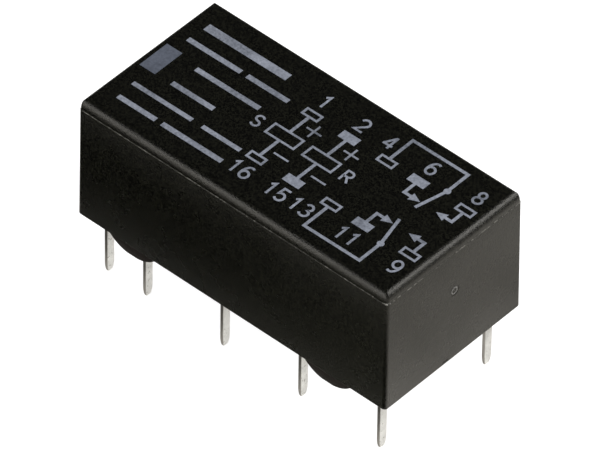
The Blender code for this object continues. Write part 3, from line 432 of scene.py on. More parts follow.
def rolled_metal(name, dull, bright, smooth, rough, strip=None):
    """Metal strip whose scratches vary its colour and whose patches vary its gloss."""
    material, tree, shader = start_material(name, metallic=1.0)
    skin = use_group(tree, strip_group, strip)
    colour = mix_colours(tree, skin["Patches"], dull, bright)
    roughness = spread(tree, skin["Scratches"], 0.0, 1.0, smooth, rough)
    wire_up(tree, shader, colour, roughness, skin["Scratches"], 0.0008 * MM)
    return material


# %% [markdown]
# ## Black case plastic
# The case is black glass-filled polyester with a fine matt grain. Up close the grain sparkles
# slightly, and its shine is a little warm. Along the parting line, where the two halves of the
# mould met, runs a hair of paler flash with brighter specks in it; its paleness is partly the
# flash and partly a painted highlight. It is a mask: a thin band at the parting height, and
# noise that makes it stronger in places. At the front corner one speck is a painted glint,
# near white.

# %% Case material
PARTING_DEPTH = 0.70 * MM
PARTING_Z = TOP_Z - PARTING_DEPTH
FLASH_HIGHLIGHT_BAND = 0.035 * MM
FLASH_HIGHLIGHT_EVERYWHERE = 0.15
GLINT_SIZE = 0.34 * MM

case_material, tree, shader = start_material("case_plastic")
shader.inputs["Specular Tint"].default_value = (1.0, 0.97, 0.91, 1.0)
skin = use_group(tree, grain_group, {"Pits per metre": 11000, "Patches per metre": 500, "Pit share": 0.85})
pale_grain = spread(tree, skin["Pits"], 0.38, 0.70, 0.0, 1.0)
colour = mix_colours(tree, pale_grain, (0.0003, 0.0004, 0.0001), (0.0115, 0.0117, 0.0070))
place = add(tree, "ShaderNodeTexCoord").outputs["Object"]
height_above = add(tree, "ShaderNodeSeparateXYZ", {0: place}).outputs["Z"]
from_parting = calculate(tree, "ABSOLUTE", calculate(tree, "SUBTRACT", height_above, PARTING_Z))
# Partly flash, partly painted highlight: a thin paler band at the parting height, broken by noise.
in_band = spread(tree, from_parting, 0.0, FLASH_HIGHLIGHT_BAND, 1.0, 0.0)
broken = spread(tree, noise(tree, place, 4200, 3.0, 0.7), 0.50, 0.62, FLASH_HIGHLIGHT_EVERYWHERE, 1.0)
flash_and_highlight = calculate(tree, "MULTIPLY", in_band, broken)
colour = mix_colours(tree, flash_and_highlight, colour, (0.26, 0.25, 0.22))
# Painted glint: a speck of flash at the front corner, made near white.
front_corner = (LENGTH / 2, -WIDTH / 2, PARTING_Z)
from_corner = add(tree, "ShaderNodeVectorMath", {0: place, 1: front_corner}, operation="DISTANCE").outputs["Value"]
flash_speck_glint = spread(tree, from_corner, 0.4 * GLINT_SIZE, GLINT_SIZE, 1.0, 0.0)
glint_breakup = spread(tree, noise(tree, place, 9000, 3.0, 0.7), 0.52, 0.58, 0.0, 1.0)
thick_band = spread(tree, from_parting, 0.02 * MM, 2 * FLASH_HIGHLIGHT_BAND, 1.0, 0.0)
flash_speck_glint = calculate(tree, "MULTIPLY", flash_speck_glint, calculate(tree, "MULTIPLY", glint_breakup, thick_band))
colour = mix_colours(tree, flash_speck_glint, colour, (0.80, 0.78, 0.74))
roughness = spread(tree, skin["Patches"], 0.0, 1.0, 0.25, 0.31)
wire_up(tree, shader, colour, roughness, skin["Height"], 0.0095 * MM)

# %% [markdown]
# ## Base, resin and the plastics inside
# The base is a browner black than the lid, because it is moulded from another material. The
# resin is cast, so it has no grain and a smooth wet gloss with slow waves. The bobbin is
# left in the natural colour of its plastic, and the carrier of the armature is dyed green.

# %% Other plastics
base_material = moulded_plastic("base_plastic", (0.010, 0.0065, 0.005), (0.020, 0.013, 0.010), 0.40, 0.52,
                                0.004 * MM)
resin_material = moulded_plastic("cast_resin", (0.012, 0.010, 0.009), (0.022, 0.019, 0.017), 0.14, 0.26,
                                 0.02 * MM, {"Pits per metre": 1500, "Patches per metre": 400, "Pit share": 0.3})
bobbin_material = moulded_plastic("bobbin_plastic", (0.60, 0.57, 0.47), (0.76, 0.74, 0.66), 0.38, 0.52,
                                  0.004 * MM)
carrier_material = moulded_plastic("carrier_plastic", (0.07, 0.17, 0.12), (0.12, 0.25, 0.18), 0.35, 0.5,
                                   0.004 * MM)
magnet_material = moulded_plastic("sintered_magnet", (0.05, 0.05, 0.055), (0.12, 0.12, 0.13), 0.3, 0.5,
                                  0.006 * MM, {"Pits per metre": 9000})
print("plastics made")

# %% [markdown]
# ## Metals
# The pins are stamped from copper alloy strip and then dipped in tin. On the wide faces the tin
# is thick and bright. The narrow cut edges are darker: the tin is thinner there, and on top of
# that they carry painted shade for the dark that they mirror. The mask for that is the
# direction that the surface faces: the cut edges face along Y. Close to the resin the tin is
# darker too, a painted shade for the shaded table under the case that the pins mirror there,
# and a few small specks are where the tin did not take.

# %% Metals
TIN = {"Scratches per metre": 30000, "Stretch along Z": 0.06, "Patches per metre": 2200}

tin_material, tree, shader = start_material("tinned_strip", metallic=1.0)
skin = use_group(tree, strip_group, TIN)
tin = mix_colours(tree, skin["Patches"], (0.66, 0.67, 0.67), (0.86, 0.87, 0.87))
place = add(tree, "ShaderNodeTexCoord").outputs["Object"]
height_above = add(tree, "ShaderNodeSeparateXYZ", {0: place}).outputs["Z"]
# Painted shade: the tin darkens towards the resin, where the pins mirror the shade under the case.
painted_shade_near_resin = spread(tree, height_above, 1.4 * MM, 3.8 * MM, 0.0, 0.55)
tin = mix_colours(tree, painted_shade_near_resin, tin, (0.30, 0.30, 0.29))
bare_specks = spread(tree, noise(tree, place, 7000, 2.0, 0.6), 0.62, 0.68, 0.0, 1.0)
tin = mix_colours(tree, bare_specks, tin, (0.30, 0.29, 0.27))
facing = add(tree, "ShaderNodeTexCoord").outputs["Normal"]
across = calculate(tree, "ABSOLUTE", add(tree, "ShaderNodeSeparateXYZ", {0: facing}).outputs["Y"])
# Faces along Y are darker: thinner tin on the cut edges, plus painted shade for the dark they mirror.
cut_edge_and_shade = spread(tree, across, 0.30, 0.80, 0.0, 1.0)
thin_tin_and_shade = mix_colours(tree, skin["Scratches"], (0.22, 0.21, 0.20), (0.36, 0.35, 0.33))
colour = mix_colours(tree, cut_edge_and_shade, tin, thin_tin_and_shade)
plain = spread(tree, skin["Scratches"], 0.0, 1.0, 0.22, 0.34)
roughness = calculate(tree, "MAXIMUM", plain, calculate(tree, "MULTIPLY", cut_edge_and_shade, 0.45))
wire_up(tree, shader, colour, roughness, skin["Scratches"], 0.001 * MM)

iron_material = rolled_metal("plated_iron", (0.46, 0.46, 0.45), (0.62, 0.62, 0.60), 0.28, 0.42)
spring_material = rolled_metal("spring_bronze", (0.62, 0.42, 0.25), (0.78, 0.56, 0.36), 0.2, 0.32,
                               {"Stretch along X": 0.05, "Stretch along Z": 1.0})
silver_material = rolled_metal("contact_silver", (0.80, 0.79, 0.76), (0.92, 0.91, 0.88), 0.16, 0.3,
                               {"Stretch along X": 1.0, "Stretch along Z": 1.0})
copper_material = rolled_metal("enamelled_copper", (0.50, 0.19, 0.09), (0.70, 0.30, 0.15), 0.2, 0.36,
                               {"Stretch along X": 1.0, "Stretch along Z": 1.0})
print("metals made")

# %% [markdown]
# ## Shapes from rings of points
# The lid is a deep tray turned upside down. Its plan is a rectangle with rounded corners, and
# every level is the same plan, a little larger or smaller. So it is made from rings of points,
# one for each level, with a skin drawn between them. That gives full control of the edge: the
# fillet on top is a quarter circle of rings, and the parting step is two rings at one height.

# %% Ring helpers
CORNER_STEPS = 10


def arc(centre_x, centre_y, radius_x, radius_y, start, end, steps):
    """Points round part of an oval, with both ends; the angles are in degrees."""
    points = []
    for step in range(steps + 1):
        angle = radians(start + (end - start) * step / steps)
        points.append((centre_x + radius_x * cos(angle), centre_y + radius_y * sin(angle)))
    return points


def plan_ring(length, width, radius, z):
    ring = []
    for corner, (side_x, side_y) in enumerate(((1, 1), (-1, 1), (-1, -1), (1, -1))):
        centre = (side_x * (length / 2 - radius), side_y * (width / 2 - radius))
        turn_start = corner * 90
        ring += [Vector((x, y, z)) for x, y in arc(*centre, radius, radius, turn_start, turn_start + 90, CORNER_STEPS)]
    return ring


def skin_over(shape, rings, closed=False, capped=True):
    """Faces between rings of equally many points."""
    loops = [[shape.verts.new(point) for point in ring] for ring in rings]
    pairs = list(zip(loops, loops[1:]))
    faces = []
    if closed:
        pairs.append((loops[-1], loops[0]))
    elif capped:
        faces += [shape.faces.new(reversed(loops[0])), shape.faces.new(loops[-1])]
    for lower, upper in pairs:
        count = len(lower)
        for index in range(count):
            after = (index + 1) % count
            faces.append(shape.faces.new((lower[index], lower[after], upper[after], upper[index])))
    bmesh.ops.recalc_face_normals(shape, faces=faces)
    return faces


def make_object(name, shape, material, smooth_angle=35):
    """Object from an edited shape, smooth but for its sharp edges."""
    mesh = bpy.data.meshes.new(name)
    shape.to_mesh(mesh)
    shape.free()
    mesh.materials.append(material)
    mesh.shade_smooth()
    mesh.set_sharp_from_angle(angle=radians(smooth_angle))
    return link(bpy.data.objects.new(name, mesh))


def finish_piece(obj, body, slot, *replaced):
    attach(obj, body)
    if replaced:
        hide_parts(*replaced)
    print(obj.name + ":", len(obj.data.polygons), "faces")
    return obj


# %% [markdown]
# ## The lid
# On the real lid the top edge is rounded by almost half a millimetre. A little below the round
# runs the parting line: the upper half of the mould made a shape that is a hair smaller, so a
# tiny ledge goes all the way round. Below it the walls lean in slightly as they rise, which
# lets the lid slide out of its mould. The rim is broken by a very small round, because no
# moulded edge is perfectly sharp.

# %% Lid shell
SIDE_WALL = 0.45 * MM
TOP_WALL = 0.55 * MM
LID_CORNER = 0.21 * MM
SHARPEST_CORNER = 0.012 * MM
INNER_CORNER = 0.15 * MM
FILLET_INSET, FILLET_DROP = 0.45 * MM, 0.64 * MM
WALL_DRAFT = 0.06 * MM
PARTING_STEP = 0.022 * MM
SMALL_ROUND = 0.03 * MM
LEDGE_ROUND = 0.018 * MM
FILLET_STEPS = 14
WALL_END_Z = RIM_Z - 0.06 * MM


def round_over(length, width, z, inset, drop, steps, upward=True):
    """Rings of a quarter-oval edge that closes inward, up or down to the given height."""
    rings = []
    for step in range(steps + 1):
        angle = step / steps * pi / 2
        inward = inset * (1 - cos(angle))
        away_from_top = drop * (1 - sin(angle))
        level = z - away_from_top if upward else z + away_from_top
        corner = max(LID_CORNER - inward, SHARPEST_CORNER)
        rings.append(plan_ring(length - 2 * inward, width - 2 * inward, corner, level))
    return rings


rings = [plan_ring(LENGTH - 2 * SIDE_WALL, WIDTH - 2 * SIDE_WALL, INNER_CORNER, TOP_Z - TOP_WALL),
         plan_ring(LENGTH - 2 * SIDE_WALL, WIDTH - 2 * SIDE_WALL, INNER_CORNER, WALL_END_Z)]
rings += reversed(round_over(LENGTH, WIDTH, WALL_END_Z, SMALL_ROUND, SMALL_ROUND, 3, upward=False))
length, width = LENGTH - 2 * WALL_DRAFT, WIDTH - 2 * WALL_DRAFT
rings += round_over(length, width, PARTING_Z, LEDGE_ROUND, LEDGE_ROUND, 3)
length, width = length - 2 * PARTING_STEP, width - 2 * PARTING_STEP
rings.append(plan_ring(length, width, LID_CORNER, PARTING_Z))
rings += round_over(length, width, TOP_Z, FILLET_INSET, FILLET_DROP, FILLET_STEPS)
shape = bmesh.new()
skin_over(shape, rings)
lid = make_object("lid", shape, case_material)

# %% [markdown]
# Two small scars tell how the lid was moulded. A round mark in the middle of the right end is
# where a pin pushed on the part: a very shallow dish with a raised ring inside. At the rim
# below it is a faint dent where the melt came in. Both are cut out with a Boolean modifier,
# which is applied at once so that the lid is a plain mesh again.

# %% Marks of the mould
MARK_RADIUS = 0.32 * MM
MARK_DEPTH = 0.012 * MM
MARK_DROP = 3.17 * MM
GATE_Y = -0.6 * MM
GATE_SIZE = Vector((0.05, 0.26, 0.12)) * MM


def cut_away(obj, cutter_shape):
    """Cut a shape out of an object for good."""
    mesh = bpy.data.meshes.new("cutter")
    cutter_shape.to_mesh(mesh)
    cutter_shape.free()
    cutter = link(bpy.data.objects.new("cutter", mesh))
    modifier = obj.modifiers.new("cut", "BOOLEAN")
    modifier.operation = "DIFFERENCE"
    modifier.object = cutter
    bpy.context.view_layer.update()
    result = bpy.data.meshes.new_from_object(obj.evaluated_get(bpy.context.evaluated_depsgraph_get()))
    obj.modifiers.clear()
    obj.data = result
    bpy.data.objects.remove(cutter, do_unlink=True)


def end_disc(shape, radius, start_x, end_x, y, z, sides=32):
    """Round plug along X."""
    rings = [[Vector((x, y + a, z + b)) for a, b in arc(0, 0, radius, radius, 0, 360, sides)[:-1]]
             for x in (start_x, end_x)]
    skin_over(shape, rings)


mark_z = TOP_Z - MARK_DROP
end_x = LENGTH / 2 - WALL_DRAFT * (mark_z - RIM_Z) / (PARTING_Z - RIM_Z)
shape = bmesh.new()
end_disc(shape, MARK_RADIUS, end_x - MARK_DEPTH, end_x + MARK_RADIUS, 0, mark_z)
cut_away(lid, shape)
shape = bmesh.new()
bmesh.ops.create_icosphere(shape, subdivisions=3, radius=1.0)
place = Matrix.Translation((LENGTH / 2 + GATE_SIZE.x / 4, GATE_Y, RIM_Z + GATE_SIZE.z))
place = place @ Matrix.Diagonal((*GATE_SIZE, 1))
bmesh.ops.transform(shape, matrix=place, verts=shape.verts)
cut_away(lid, shape)
lid.data.shade_smooth()
lid.data.set_sharp_from_angle(angle=radians(30))
finish_piece(lid, "housing", "case", "cover")

# %% Ring inside the round mark
RING_RADIUS = 0.19 * MM
RING_BAR = 0.045 * MM

# The ring's pale pits are partly a scuff and partly a painted highlight.
scuffed_and_highlight_material = moulded_plastic("scuffed_and_highlight_plastic", (0.008, 0.008, 0.007), (0.30, 0.29, 0.27), 0.30, 0.45,
                                   0.004 * MM, {"Pits per metre": 6000})

shape = bmesh.new()
rings = []
for a, b in arc(0, 0, 1, 1, 0, 360, 28)[:-1]:
    middle = Vector((end_x - RING_BAR / 2, a * RING_RADIUS, mark_z + b * RING_RADIUS))
    outward = Vector((0, a, b))
    rings.append([middle + outward * u * RING_BAR + Vector((1, 0, 0)) * v * RING_BAR
                  for u, v in arc(0, 0, 1, 1, 0, 360, 10)[:-1]])
skin_over(shape, rings, closed=True)
end_disc(shape, RING_BAR / 2, end_x - RING_BAR, end_x - MARK_DEPTH / 3, 0, mark_z, 12)
finish_piece(make_object("mould_mark", shape, scuffed_and_highlight_material), "housing", "case")

# %% [markdown]
# ## Finer copies of CAD nodes
# A CAD node is right in size but its edges are perfectly sharp, and a sharp edge never catches
# the light. `welded_copy` takes its mesh, welds the loose triangles and dissolves the flat ones
# into whole faces. `break_edges` lets a Bevel modifier round the edges, and keeps the result
# as a plain mesh. The copy then stands for the node.

# %% Finer copies
WELD = 0.0005 * MM
FLAT = radians(0.4)


def welded_copy(node):
    shape = bmesh.new()
    shape.from_mesh(nodes[node].data)
    bmesh.ops.remove_doubles(shape, verts=shape.verts, dist=WELD)
    bmesh.ops.dissolve_limit(shape, angle_limit=FLAT, verts=shape.verts, edges=shape.edges)
    return shape


def plain_mesh(obj):
    """The object's mesh as its modifiers leave it."""
    bpy.context.view_layer.update()
    return bpy.data.meshes.new_from_object(obj.evaluated_get(bpy.context.evaluated_depsgraph_get()))


def break_edges(name, shape, material, edge, segments=2):
    """Object from an edited shape, its edges rounded for good."""
    obj = make_object(name, shape, material, smooth_angle=60)
    if "custom_normal" in obj.data.attributes:
        obj.data.attributes.remove(obj.data.attributes["custom_normal"])
    bevel = obj.modifiers.new("broken edges", "BEVEL")
    bevel.width = edge
    bevel.segments = segments
    bevel.limit_method = "ANGLE"
    bevel.angle_limit = radians(38)
    obj.data = plain_mesh(obj)
    obj.modifiers.clear()
    return obj


# %% [markdown]
# ## Base and feet
# The base closes the lid. Four half-round feet hang below the rim and hold the case off the
# board, so that the board can be washed under it. Seen closely a foot is rounder than the CAD
# has it: its arc is drawn down by a tenth of a millimetre. It also hangs a tenth of a
# millimetre to the left, and its front face is almost level with the wall of the lid.

# %% Base
FOOT_TO_LEFT = 0.10 * MM
FOOT_ROUNDER = 0.10 * MM
FOOT_FACE_Y = WIDTH / 2 - 0.07 * MM

shape = welded_copy("base")
below_rim = [corner.co for corner in shape.verts if corner.co.z < RIM_Z + 0.01 * MM]
foot_depth = RIM_Z - min(point.z for point in below_rim)
foot_face_y = max(abs(point.y) for point in below_rim)
for point in below_rim:
    point.x -= FOOT_TO_LEFT
    point.z -= FOOT_ROUNDER * sin(min(max((RIM_Z - point.z) / foot_depth, 0), 1) * pi / 2)
    if abs(point.y) > foot_face_y - 0.01 * MM:
        point.y = FOOT_FACE_Y if point.y > 0 else -FOOT_FACE_Y
print("CAD feet are", round(foot_depth / MM, 2), "mm deep")
base = break_edges("base_fine", shape, base_material, 0.04 * MM)
finish_piece(base, "housing", "base", "base")

# %% [markdown]
# ## Ten pins
# Each pin is a strip, 0.5 mm wide and 0.2 mm thick, and the tin on it adds a few hundredths of
# a millimetre. Its edges are round, because the tin draws itself together as it sets, and its
# end is a slim round nose that finds the hole in the board.
# The part of the CAD node above the resin stays as it is, with its edges broken. The part below
# is drawn again as rings that shrink towards the tip by a quarter of an oval.

# %% Pins
PIN_THICKNESS, PIN_WIDTH = 0.22 * MM, 0.56 * MM
TIP_THICKNESS, TIP_WIDTH = 0.09 * MM, 0.22 * MM
PIN_EDGE = 0.085 * MM
PIN_NOSE = 0.7 * MM
NOSE_STEPS = 12
PIN_JOIN_Z = RESIN_Z + 0.1 * MM


def upper_half(node, level):
    """Welded copy of a node, cut off and closed at a level."""
    shape = welded_copy(node)
    everything = shape.verts[:] + shape.edges[:] + shape.faces[:]
    cut = bmesh.ops.bisect_plane(shape, geom=everything, plane_co=(0, 0, level), plane_no=(0, 0, 1),
                                 clear_inner=True)
    rim = [item for item in cut["geom_cut"] if isinstance(item, bmesh.types.BMEdge)]
    bmesh.ops.contextual_create(shape, geom=rim)
    return shape


def pin_ring(middle, thickness, width, z):
    radius = min(PIN_EDGE, thickness * PIN_EDGE / PIN_THICKNESS)
    return [point + middle for point in plan_ring(thickness, width, radius, z)]


def pin_below(shape, middle):
    """Round-edged strip from its tip up to where it meets the rest of the terminal."""
    rings = []
    for step in range(NOSE_STEPS + 1):
        angle = step / NOSE_STEPS * pi / 2
        thickness = TIP_THICKNESS + (PIN_THICKNESS - TIP_THICKNESS) * sin(angle)
        width = TIP_WIDTH + (PIN_WIDTH - TIP_WIDTH) * sin(angle)
        rings.append(pin_ring(middle, thickness, width, PIN_NOSE * (1 - cos(angle))))
    rings.append(pin_ring(middle, PIN_THICKNESS, PIN_WIDTH, PIN_JOIN_Z))
    skin_over(shape, rings)


for name in [node for node in nodes if node.startswith("terminal_")]:
    tip = [corner.co for corner in nodes[name].data.vertices if corner.co.z < PIN_NOSE / 2]
    middle = sum(tip, Vector()) / len(tip)
    upper = break_edges(name + "_upper", upper_half(name, PIN_JOIN_Z), tin_material, 0.02 * MM)
    shape = bmesh.new()
    shape.from_mesh(upper.data)
    bpy.data.objects.remove(upper, do_unlink=True)
    pin_below(shape, Vector((middle.x, middle.y, 0)))
    finish_piece(make_object(name + "_fine", shape, tin_material, 60), "housing", "terminal", name)

# %% [markdown]
# ## Print on the lid
# Ink is pressed on with a soft pad and stands a hundredth of a millimetre proud. Here each
# line of ink is a thin bar with mitred corners, so the print is real geometry and stays crisp
# from close by. The pin numbers, the two coil signs and the wiring symbol are what a user of
# any such relay needs.
#
# Pad printing is never quite square to the part. The whole print is turned by a third of a
# degree and sits a tenth of a millimetre low.

# %% Ink helpers
INK_HEIGHT = 0.010 * MM
INK_SUNK = 0.004 * MM
INK_TURN = radians(0.35)
INK_SHIFT = Vector((0, -0.10)) * MM
LAYER = 0.0002 * MM
ink = bmesh.new()
ink_layers = 0


def on_lid(x, y, z):
    """Point of the print, given in millimetres, on the lid."""
    turned_x = x * cos(INK_TURN) - y * sin(INK_TURN)
    turned_y = x * sin(INK_TURN) + y * cos(INK_TURN)
    return Vector((turned_x * MM + INK_SHIFT.x, turned_y * MM + INK_SHIFT.y, z))


def next_layer():
    """Each shape of ink is a hair higher than the last, so that no two tops coincide."""
    global ink_layers
    ink_layers += 1
    return TOP_Z + INK_HEIGHT + ink_layers % 20 * LAYER


def ink_line(points, width, closed=False):
    """Bar of ink through points, with mitred corners; sizes in millimetres."""
    top, low = next_layer(), TOP_Z - INK_SUNK
    spots = [Vector(point) for point in points]
    count = len(spots)
    rings = []
    for index, spot in enumerate(spots):
        before = spots[index - 1] if closed or index else None
        after = spots[(index + 1) % count] if closed or index < count - 1 else None
        ways = [(b - a).normalized() for a, b in ((before, spot), (spot, after)) if a is not None and b is not None]
        sides = [Vector((-way.y, way.x)) for way in ways]
        mitre = (sides[0] + sides[-1]).normalized()
        reach = width / 2 / max(mitre.dot(sides[0]), 0.5)
        left, right_side = spot + mitre * reach, spot - mitre * reach
        rings.append([on_lid(*left, top), on_lid(*right_side, top), on_lid(*right_side, low), on_lid(*left, low)])
    skin_over(ink, rings, closed=closed)


def ink_patch(outline):
    """Filled patch of ink, its outline in millimetres."""
    top, low = next_layer(), TOP_Z - INK_SUNK
    skin_over(ink, [[on_lid(x, y, z) for x, y in outline] for z in (low, top)])


def block(centre_x, centre_y, width, height):
    x, y = width / 2, height / 2
    return [(centre_x - x, centre_y - y), (centre_x + x, centre_y - y),
            (centre_x + x, centre_y + y), (centre_x - x, centre_y + y)]


# %% [markdown]
# Numbers are drawn by a pen: each figure is one or two strokes in a box that is one unit high,
# made of straight runs and parts of ovals. `write` scales the strokes and lays them side by
# side.

# %% Figures
FIGURE_WIDTH = 0.62
STROKES = {
    "1": [([(0.10, 0.80), (0.34, 1.0), (0.34, 0.0)], False)],
    "2": [(arc(0.31, 0.71, 0.29, 0.29, 165, -32, 12) + [(0.02, 0.0), (0.62, 0.0)], False)],
    "3": [(arc(0.29, 0.75, 0.25, 0.25, 155, -75, 11) + arc(0.29, 0.26, 0.29, 0.26, 72, -155, 12), False)],
    "4": [([(0.46, 0.0), (0.46, 1.06)], False), ([(0.44, 1.0), (0.02, 0.27)], False),
          ([(-0.04, 0.27), (0.64, 0.27)], False)],
    "5": [([(0.57, 1.0), (0.10, 1.0), (0.06, 0.52)] + arc(0.29, 0.31, 0.29, 0.31, 120, -145, 12), False)],
    "6": [(arc(0.31, 0.30, 0.28, 0.30, 0, 360, 20)[:-1], True), (arc(0.40, 0.40, 0.375, 0.60, 66, 188, 9), False)],
    "8": [(arc(0.31, 0.755, 0.23, 0.24, 0, 360, 18)[:-1], True), (arc(0.31, 0.26, 0.29, 0.26, 0, 360, 20)[:-1], True)],
    "9": [(arc(0.31, 0.70, 0.28, 0.30, 0, 360, 20)[:-1], True), (arc(0.22, 0.60, 0.375, 0.60, -114, 8, 9), False)],
    "S": [(arc(0.30, 0.75, 0.27, 0.25, 25, 270, 12) + arc(0.30, 0.25, 0.28, 0.25, 90, -155, 12)[1:], False)],
    "R": [([(0.0, 0.0), (0.0, 1.0), (0.32, 1.0)] + arc(0.32, 0.745, 0.25, 0.255, 80, -80, 9)
           + [(0.32, 0.49), (0.0, 0.49)], False), ([(0.30, 0.49), (0.60, 0.0)], False)],
}


def write(text, centre_x, centre_y, height, stroke, gap=0.23):
    """Figures centred on a spot; height is that of the pen's path, in millimetres."""
    step = (FIGURE_WIDTH + gap) * height
    start = centre_x - (step * (len(text) - 1) + FIGURE_WIDTH * height) / 2
    for place, figure in enumerate(text):
        for points, closed in STROKES[figure]:
            ink_line([(start + place * step + x * height, centre_y + (y - 0.5) * height) for x, y in points],
                     stroke, closed)


# %% Pin numbers
FIGURE_HEIGHT = 0.84
FIGURE_STROKE = 0.13
NUMBER_Y = 3.09
LETTER_HEIGHT = 0.76

for text, x, side in (("1", -0.99, 1), ("2", 1.42, 1), ("4", 3.14, 1), ("6", 5.83, 1), ("8", 8.83, 1),
                      ("16", -0.93, -1), ("15", 1.36, -1), ("13", 2.93, -1), ("11", 5.83, -1), ("9", 8.91, -1)):
    write(text, x, side * NUMBER_Y, FIGURE_HEIGHT, FIGURE_STROKE)
write("S", -2.54, -0.06, LETTER_HEIGHT, 0.12)
write("R", 3.20, -0.07, LETTER_HEIGHT, 0.12)
print("figures use", ink_layers, "strokes")

# %% [markdown]
# The wiring symbol shows every pin as a small pad, hollow or filled, the two coils as boxes
# between pads, and the two changeover contacts as a lever between two arrows. Upper and lower
# halves mirror each other, so one loop draws both.

# %% Wiring symbol
PAD_SIZE = (1.05, 0.54)
PAD_Y = 2.0
OUTLINE = 0.125
LEAD = 0.17
COIL_BOX = (1.92, 0.88)
COIL_LETTER_X = (-0.885, 1.49)
CONTACT_Y = 0.98


def hollow(centre_x, centre_y, width, height):
    ink_line(block(centre_x, centre_y, width - OUTLINE, height - OUTLINE), OUTLINE, closed=True)


def arrow(tip_x, tip_y, way):
    """Arrow head that points along X."""
    back_x = tip_x - way * 0.58
    outline = [(tip_x, tip_y), (back_x, tip_y + 0.26), (back_x, tip_y - 0.26)]
    ink_patch(outline if way < 0 else outline[::-1])


for x in COIL_LETTER_X:
    hollow(x, 0.0, *COIL_BOX)
for side in (1, -1):
    y = side * PAD_Y
    near, far = side * (PAD_Y - PAD_SIZE[1] / 2), side * (PAD_Y + PAD_SIZE[1] / 2)
    for x, filled in ((-0.885, False), (1.49, True), (3.88, False), (5.88, True), (8.86, False)):
        if filled:
            ink_patch(block(x, y, *PAD_SIZE))
        else:
            hollow(x, y, *PAD_SIZE)
    for x in COIL_LETTER_X:
        ink_line([(x, near), (x, side * COIL_BOX[1] / 2)], LEAD)
        ink_line([(x + 0.38, side * 1.18), (x + 1.30, side * 1.18)], 0.11)
        if side > 0:
            ink_line([(x + 0.84, 0.72), (x + 0.84, 1.64)], 0.11)
    ink_line([(3.86, far), (3.86, side * 3.92), (7.36, side * 3.92), (7.36, side * 2.43)], LEAD)
    ink_patch([(7.36 + dx, side * 2.40 + dy) for dx, dy in arc(0, 0, 0.19, 0.19, 0, 360, 16)[:-1]])
    ink_line([(7.36, side * 2.40), (6.93, side * 0.55)], LEAD)
    ink_line([(5.88, near), (5.88, side * CONTACT_Y), (6.40, side * CONTACT_Y)], LEAD)
    arrow(6.88, side * CONTACT_Y, 1)
    ink_line([(8.88, near), (8.88, side * CONTACT_Y), (8.40, side * CONTACT_Y)], LEAD)
    arrow(7.89, side * CONTACT_Y, -1)
print("wiring symbol done,", ink_layers, "shapes of ink so far")

# %% [markdown]
# The left third of the lid carries plain bars of ink, one heavy row and five light ones. They
# balance the wiring symbol and say nothing.

# %% Plain bars
BAR_ROWS = (
    (3.16, 0.50, ((-8.75, -3.45),)),
    (1.92, 0.30, ((-8.85, -5.40), (-5.00, -2.35))),
    (0.62, 0.30, ((-7.15, -3.05),)),
    (-0.88, 0.30, ((-7.35, -4.65),)),
    (-2.14, 0.26, ((-8.75, -4.90), (-4.25, -1.80))),
    (-3.30, 0.30, ((-8.65, -6.20), (-5.80, -1.95))),
)
for y, height, spans in BAR_ROWS:
    for start, end in spans:
        ink_patch(block((start + end) / 2, y, end - start, height))

# %% [markdown]
# ## Ink
# The ink is a blue grey. It is not quite opaque: where the pad pressed less, more of the black
# shows through, so a cloudy mask darkens it. The block that marks the first pin is printed
# from the same ink but looks darker, because a wide area takes up less of it.

# %% Ink materials


def ink_finish(name, thin, thick):
    material, tree, shader = start_material(name, roughness=0.55)
    skin = use_group(tree, grain_group, {"Pits per metre": 7000, "Patches per metre": 450})
    coverage = calculate(tree, "ADD", calculate(tree, "MULTIPLY", skin["Pits"], 0.5),
                         calculate(tree, "MULTIPLY", skin["Patches"], 0.5))
    wire_up(tree, shader, mix_colours(tree, coverage, thin, thick), None, skin["Pits"], 0.003 * MM)
    return material


ink_material = ink_finish("ink", (0.110, 0.124, 0.156), (0.46, 0.495, 0.590))
block_material = ink_finish("ink_block", (0.080, 0.093, 0.124), (0.185, 0.208, 0.270))
finish_piece(make_object("print", ink, ink_material), "housing", "case")

ink = bmesh.new()
ink_patch(block(-8.87, 0.0, 1.00, 1.98))
finish_piece(make_object("first_pin_mark", ink, block_material), "housing", "case")

# %% [markdown]
# ## Turns of wire
# Between the flanges of the bobbin the outer coil shows its wire: seventy turns side by side.
# They repeat exactly, so Geometry Nodes make them. A rounded rectangle is the path of one
# turn, a small circle swept along it is the wire, and one copy stands on each point of a line.
# The tree is used once and its result is turned into a plain mesh.

# %% Helpers for Geometry Nodes


def new_geometry_tree(name, inputs):
    tree = bpy.data.node_groups.new(name, "GeometryNodeTree")
    tree.interface.new_socket(name="Geometry", in_out="INPUT", socket_type="NodeSocketGeometry")
    for label, kind in inputs.items():
        tree.interface.new_socket(name=label, in_out="INPUT", socket_type=kind)
    tree.interface.new_socket(name="Geometry", in_out="OUTPUT", socket_type="NodeSocketGeometry")
    return tree, tree.nodes.new("NodeGroupInput").outputs


def end_tree(tree, instances):
    """Realize the copies, give them their material and send them out."""
    real = add(tree, "GeometryNodeRealizeInstances", {0: instances}).outputs[0]
    finish = tree.nodes.new("GeometryNodeSetMaterial")
    tree.links.new(real, finish.inputs["Geometry"])
    add(tree, "NodeGroupOutput", {0: finish.outputs[0]})
    return finish


def grow(name, tree, sizes, points=()):
    """Plain mesh object from a tree, its inputs and the points that it starts from."""
    seed = bpy.data.meshes.new(name)
    seed.from_pydata(list(points), [], [])
    maker = link(bpy.data.objects.new(name + "_maker", seed))
    modifier = maker.modifiers.new("maker", "NODES")
    modifier.node_group = tree
    for item in tree.interface.items_tree:
        if item.in_out == "INPUT" and item.name in sizes:
            modifier[item.identifier] = sizes[item.name]
    mesh = plain_mesh(maker)
    bpy.data.objects.remove(maker, do_unlink=True)
    mesh.name = name
    mesh.shade_smooth()
    return link(bpy.data.objects.new(name, mesh))


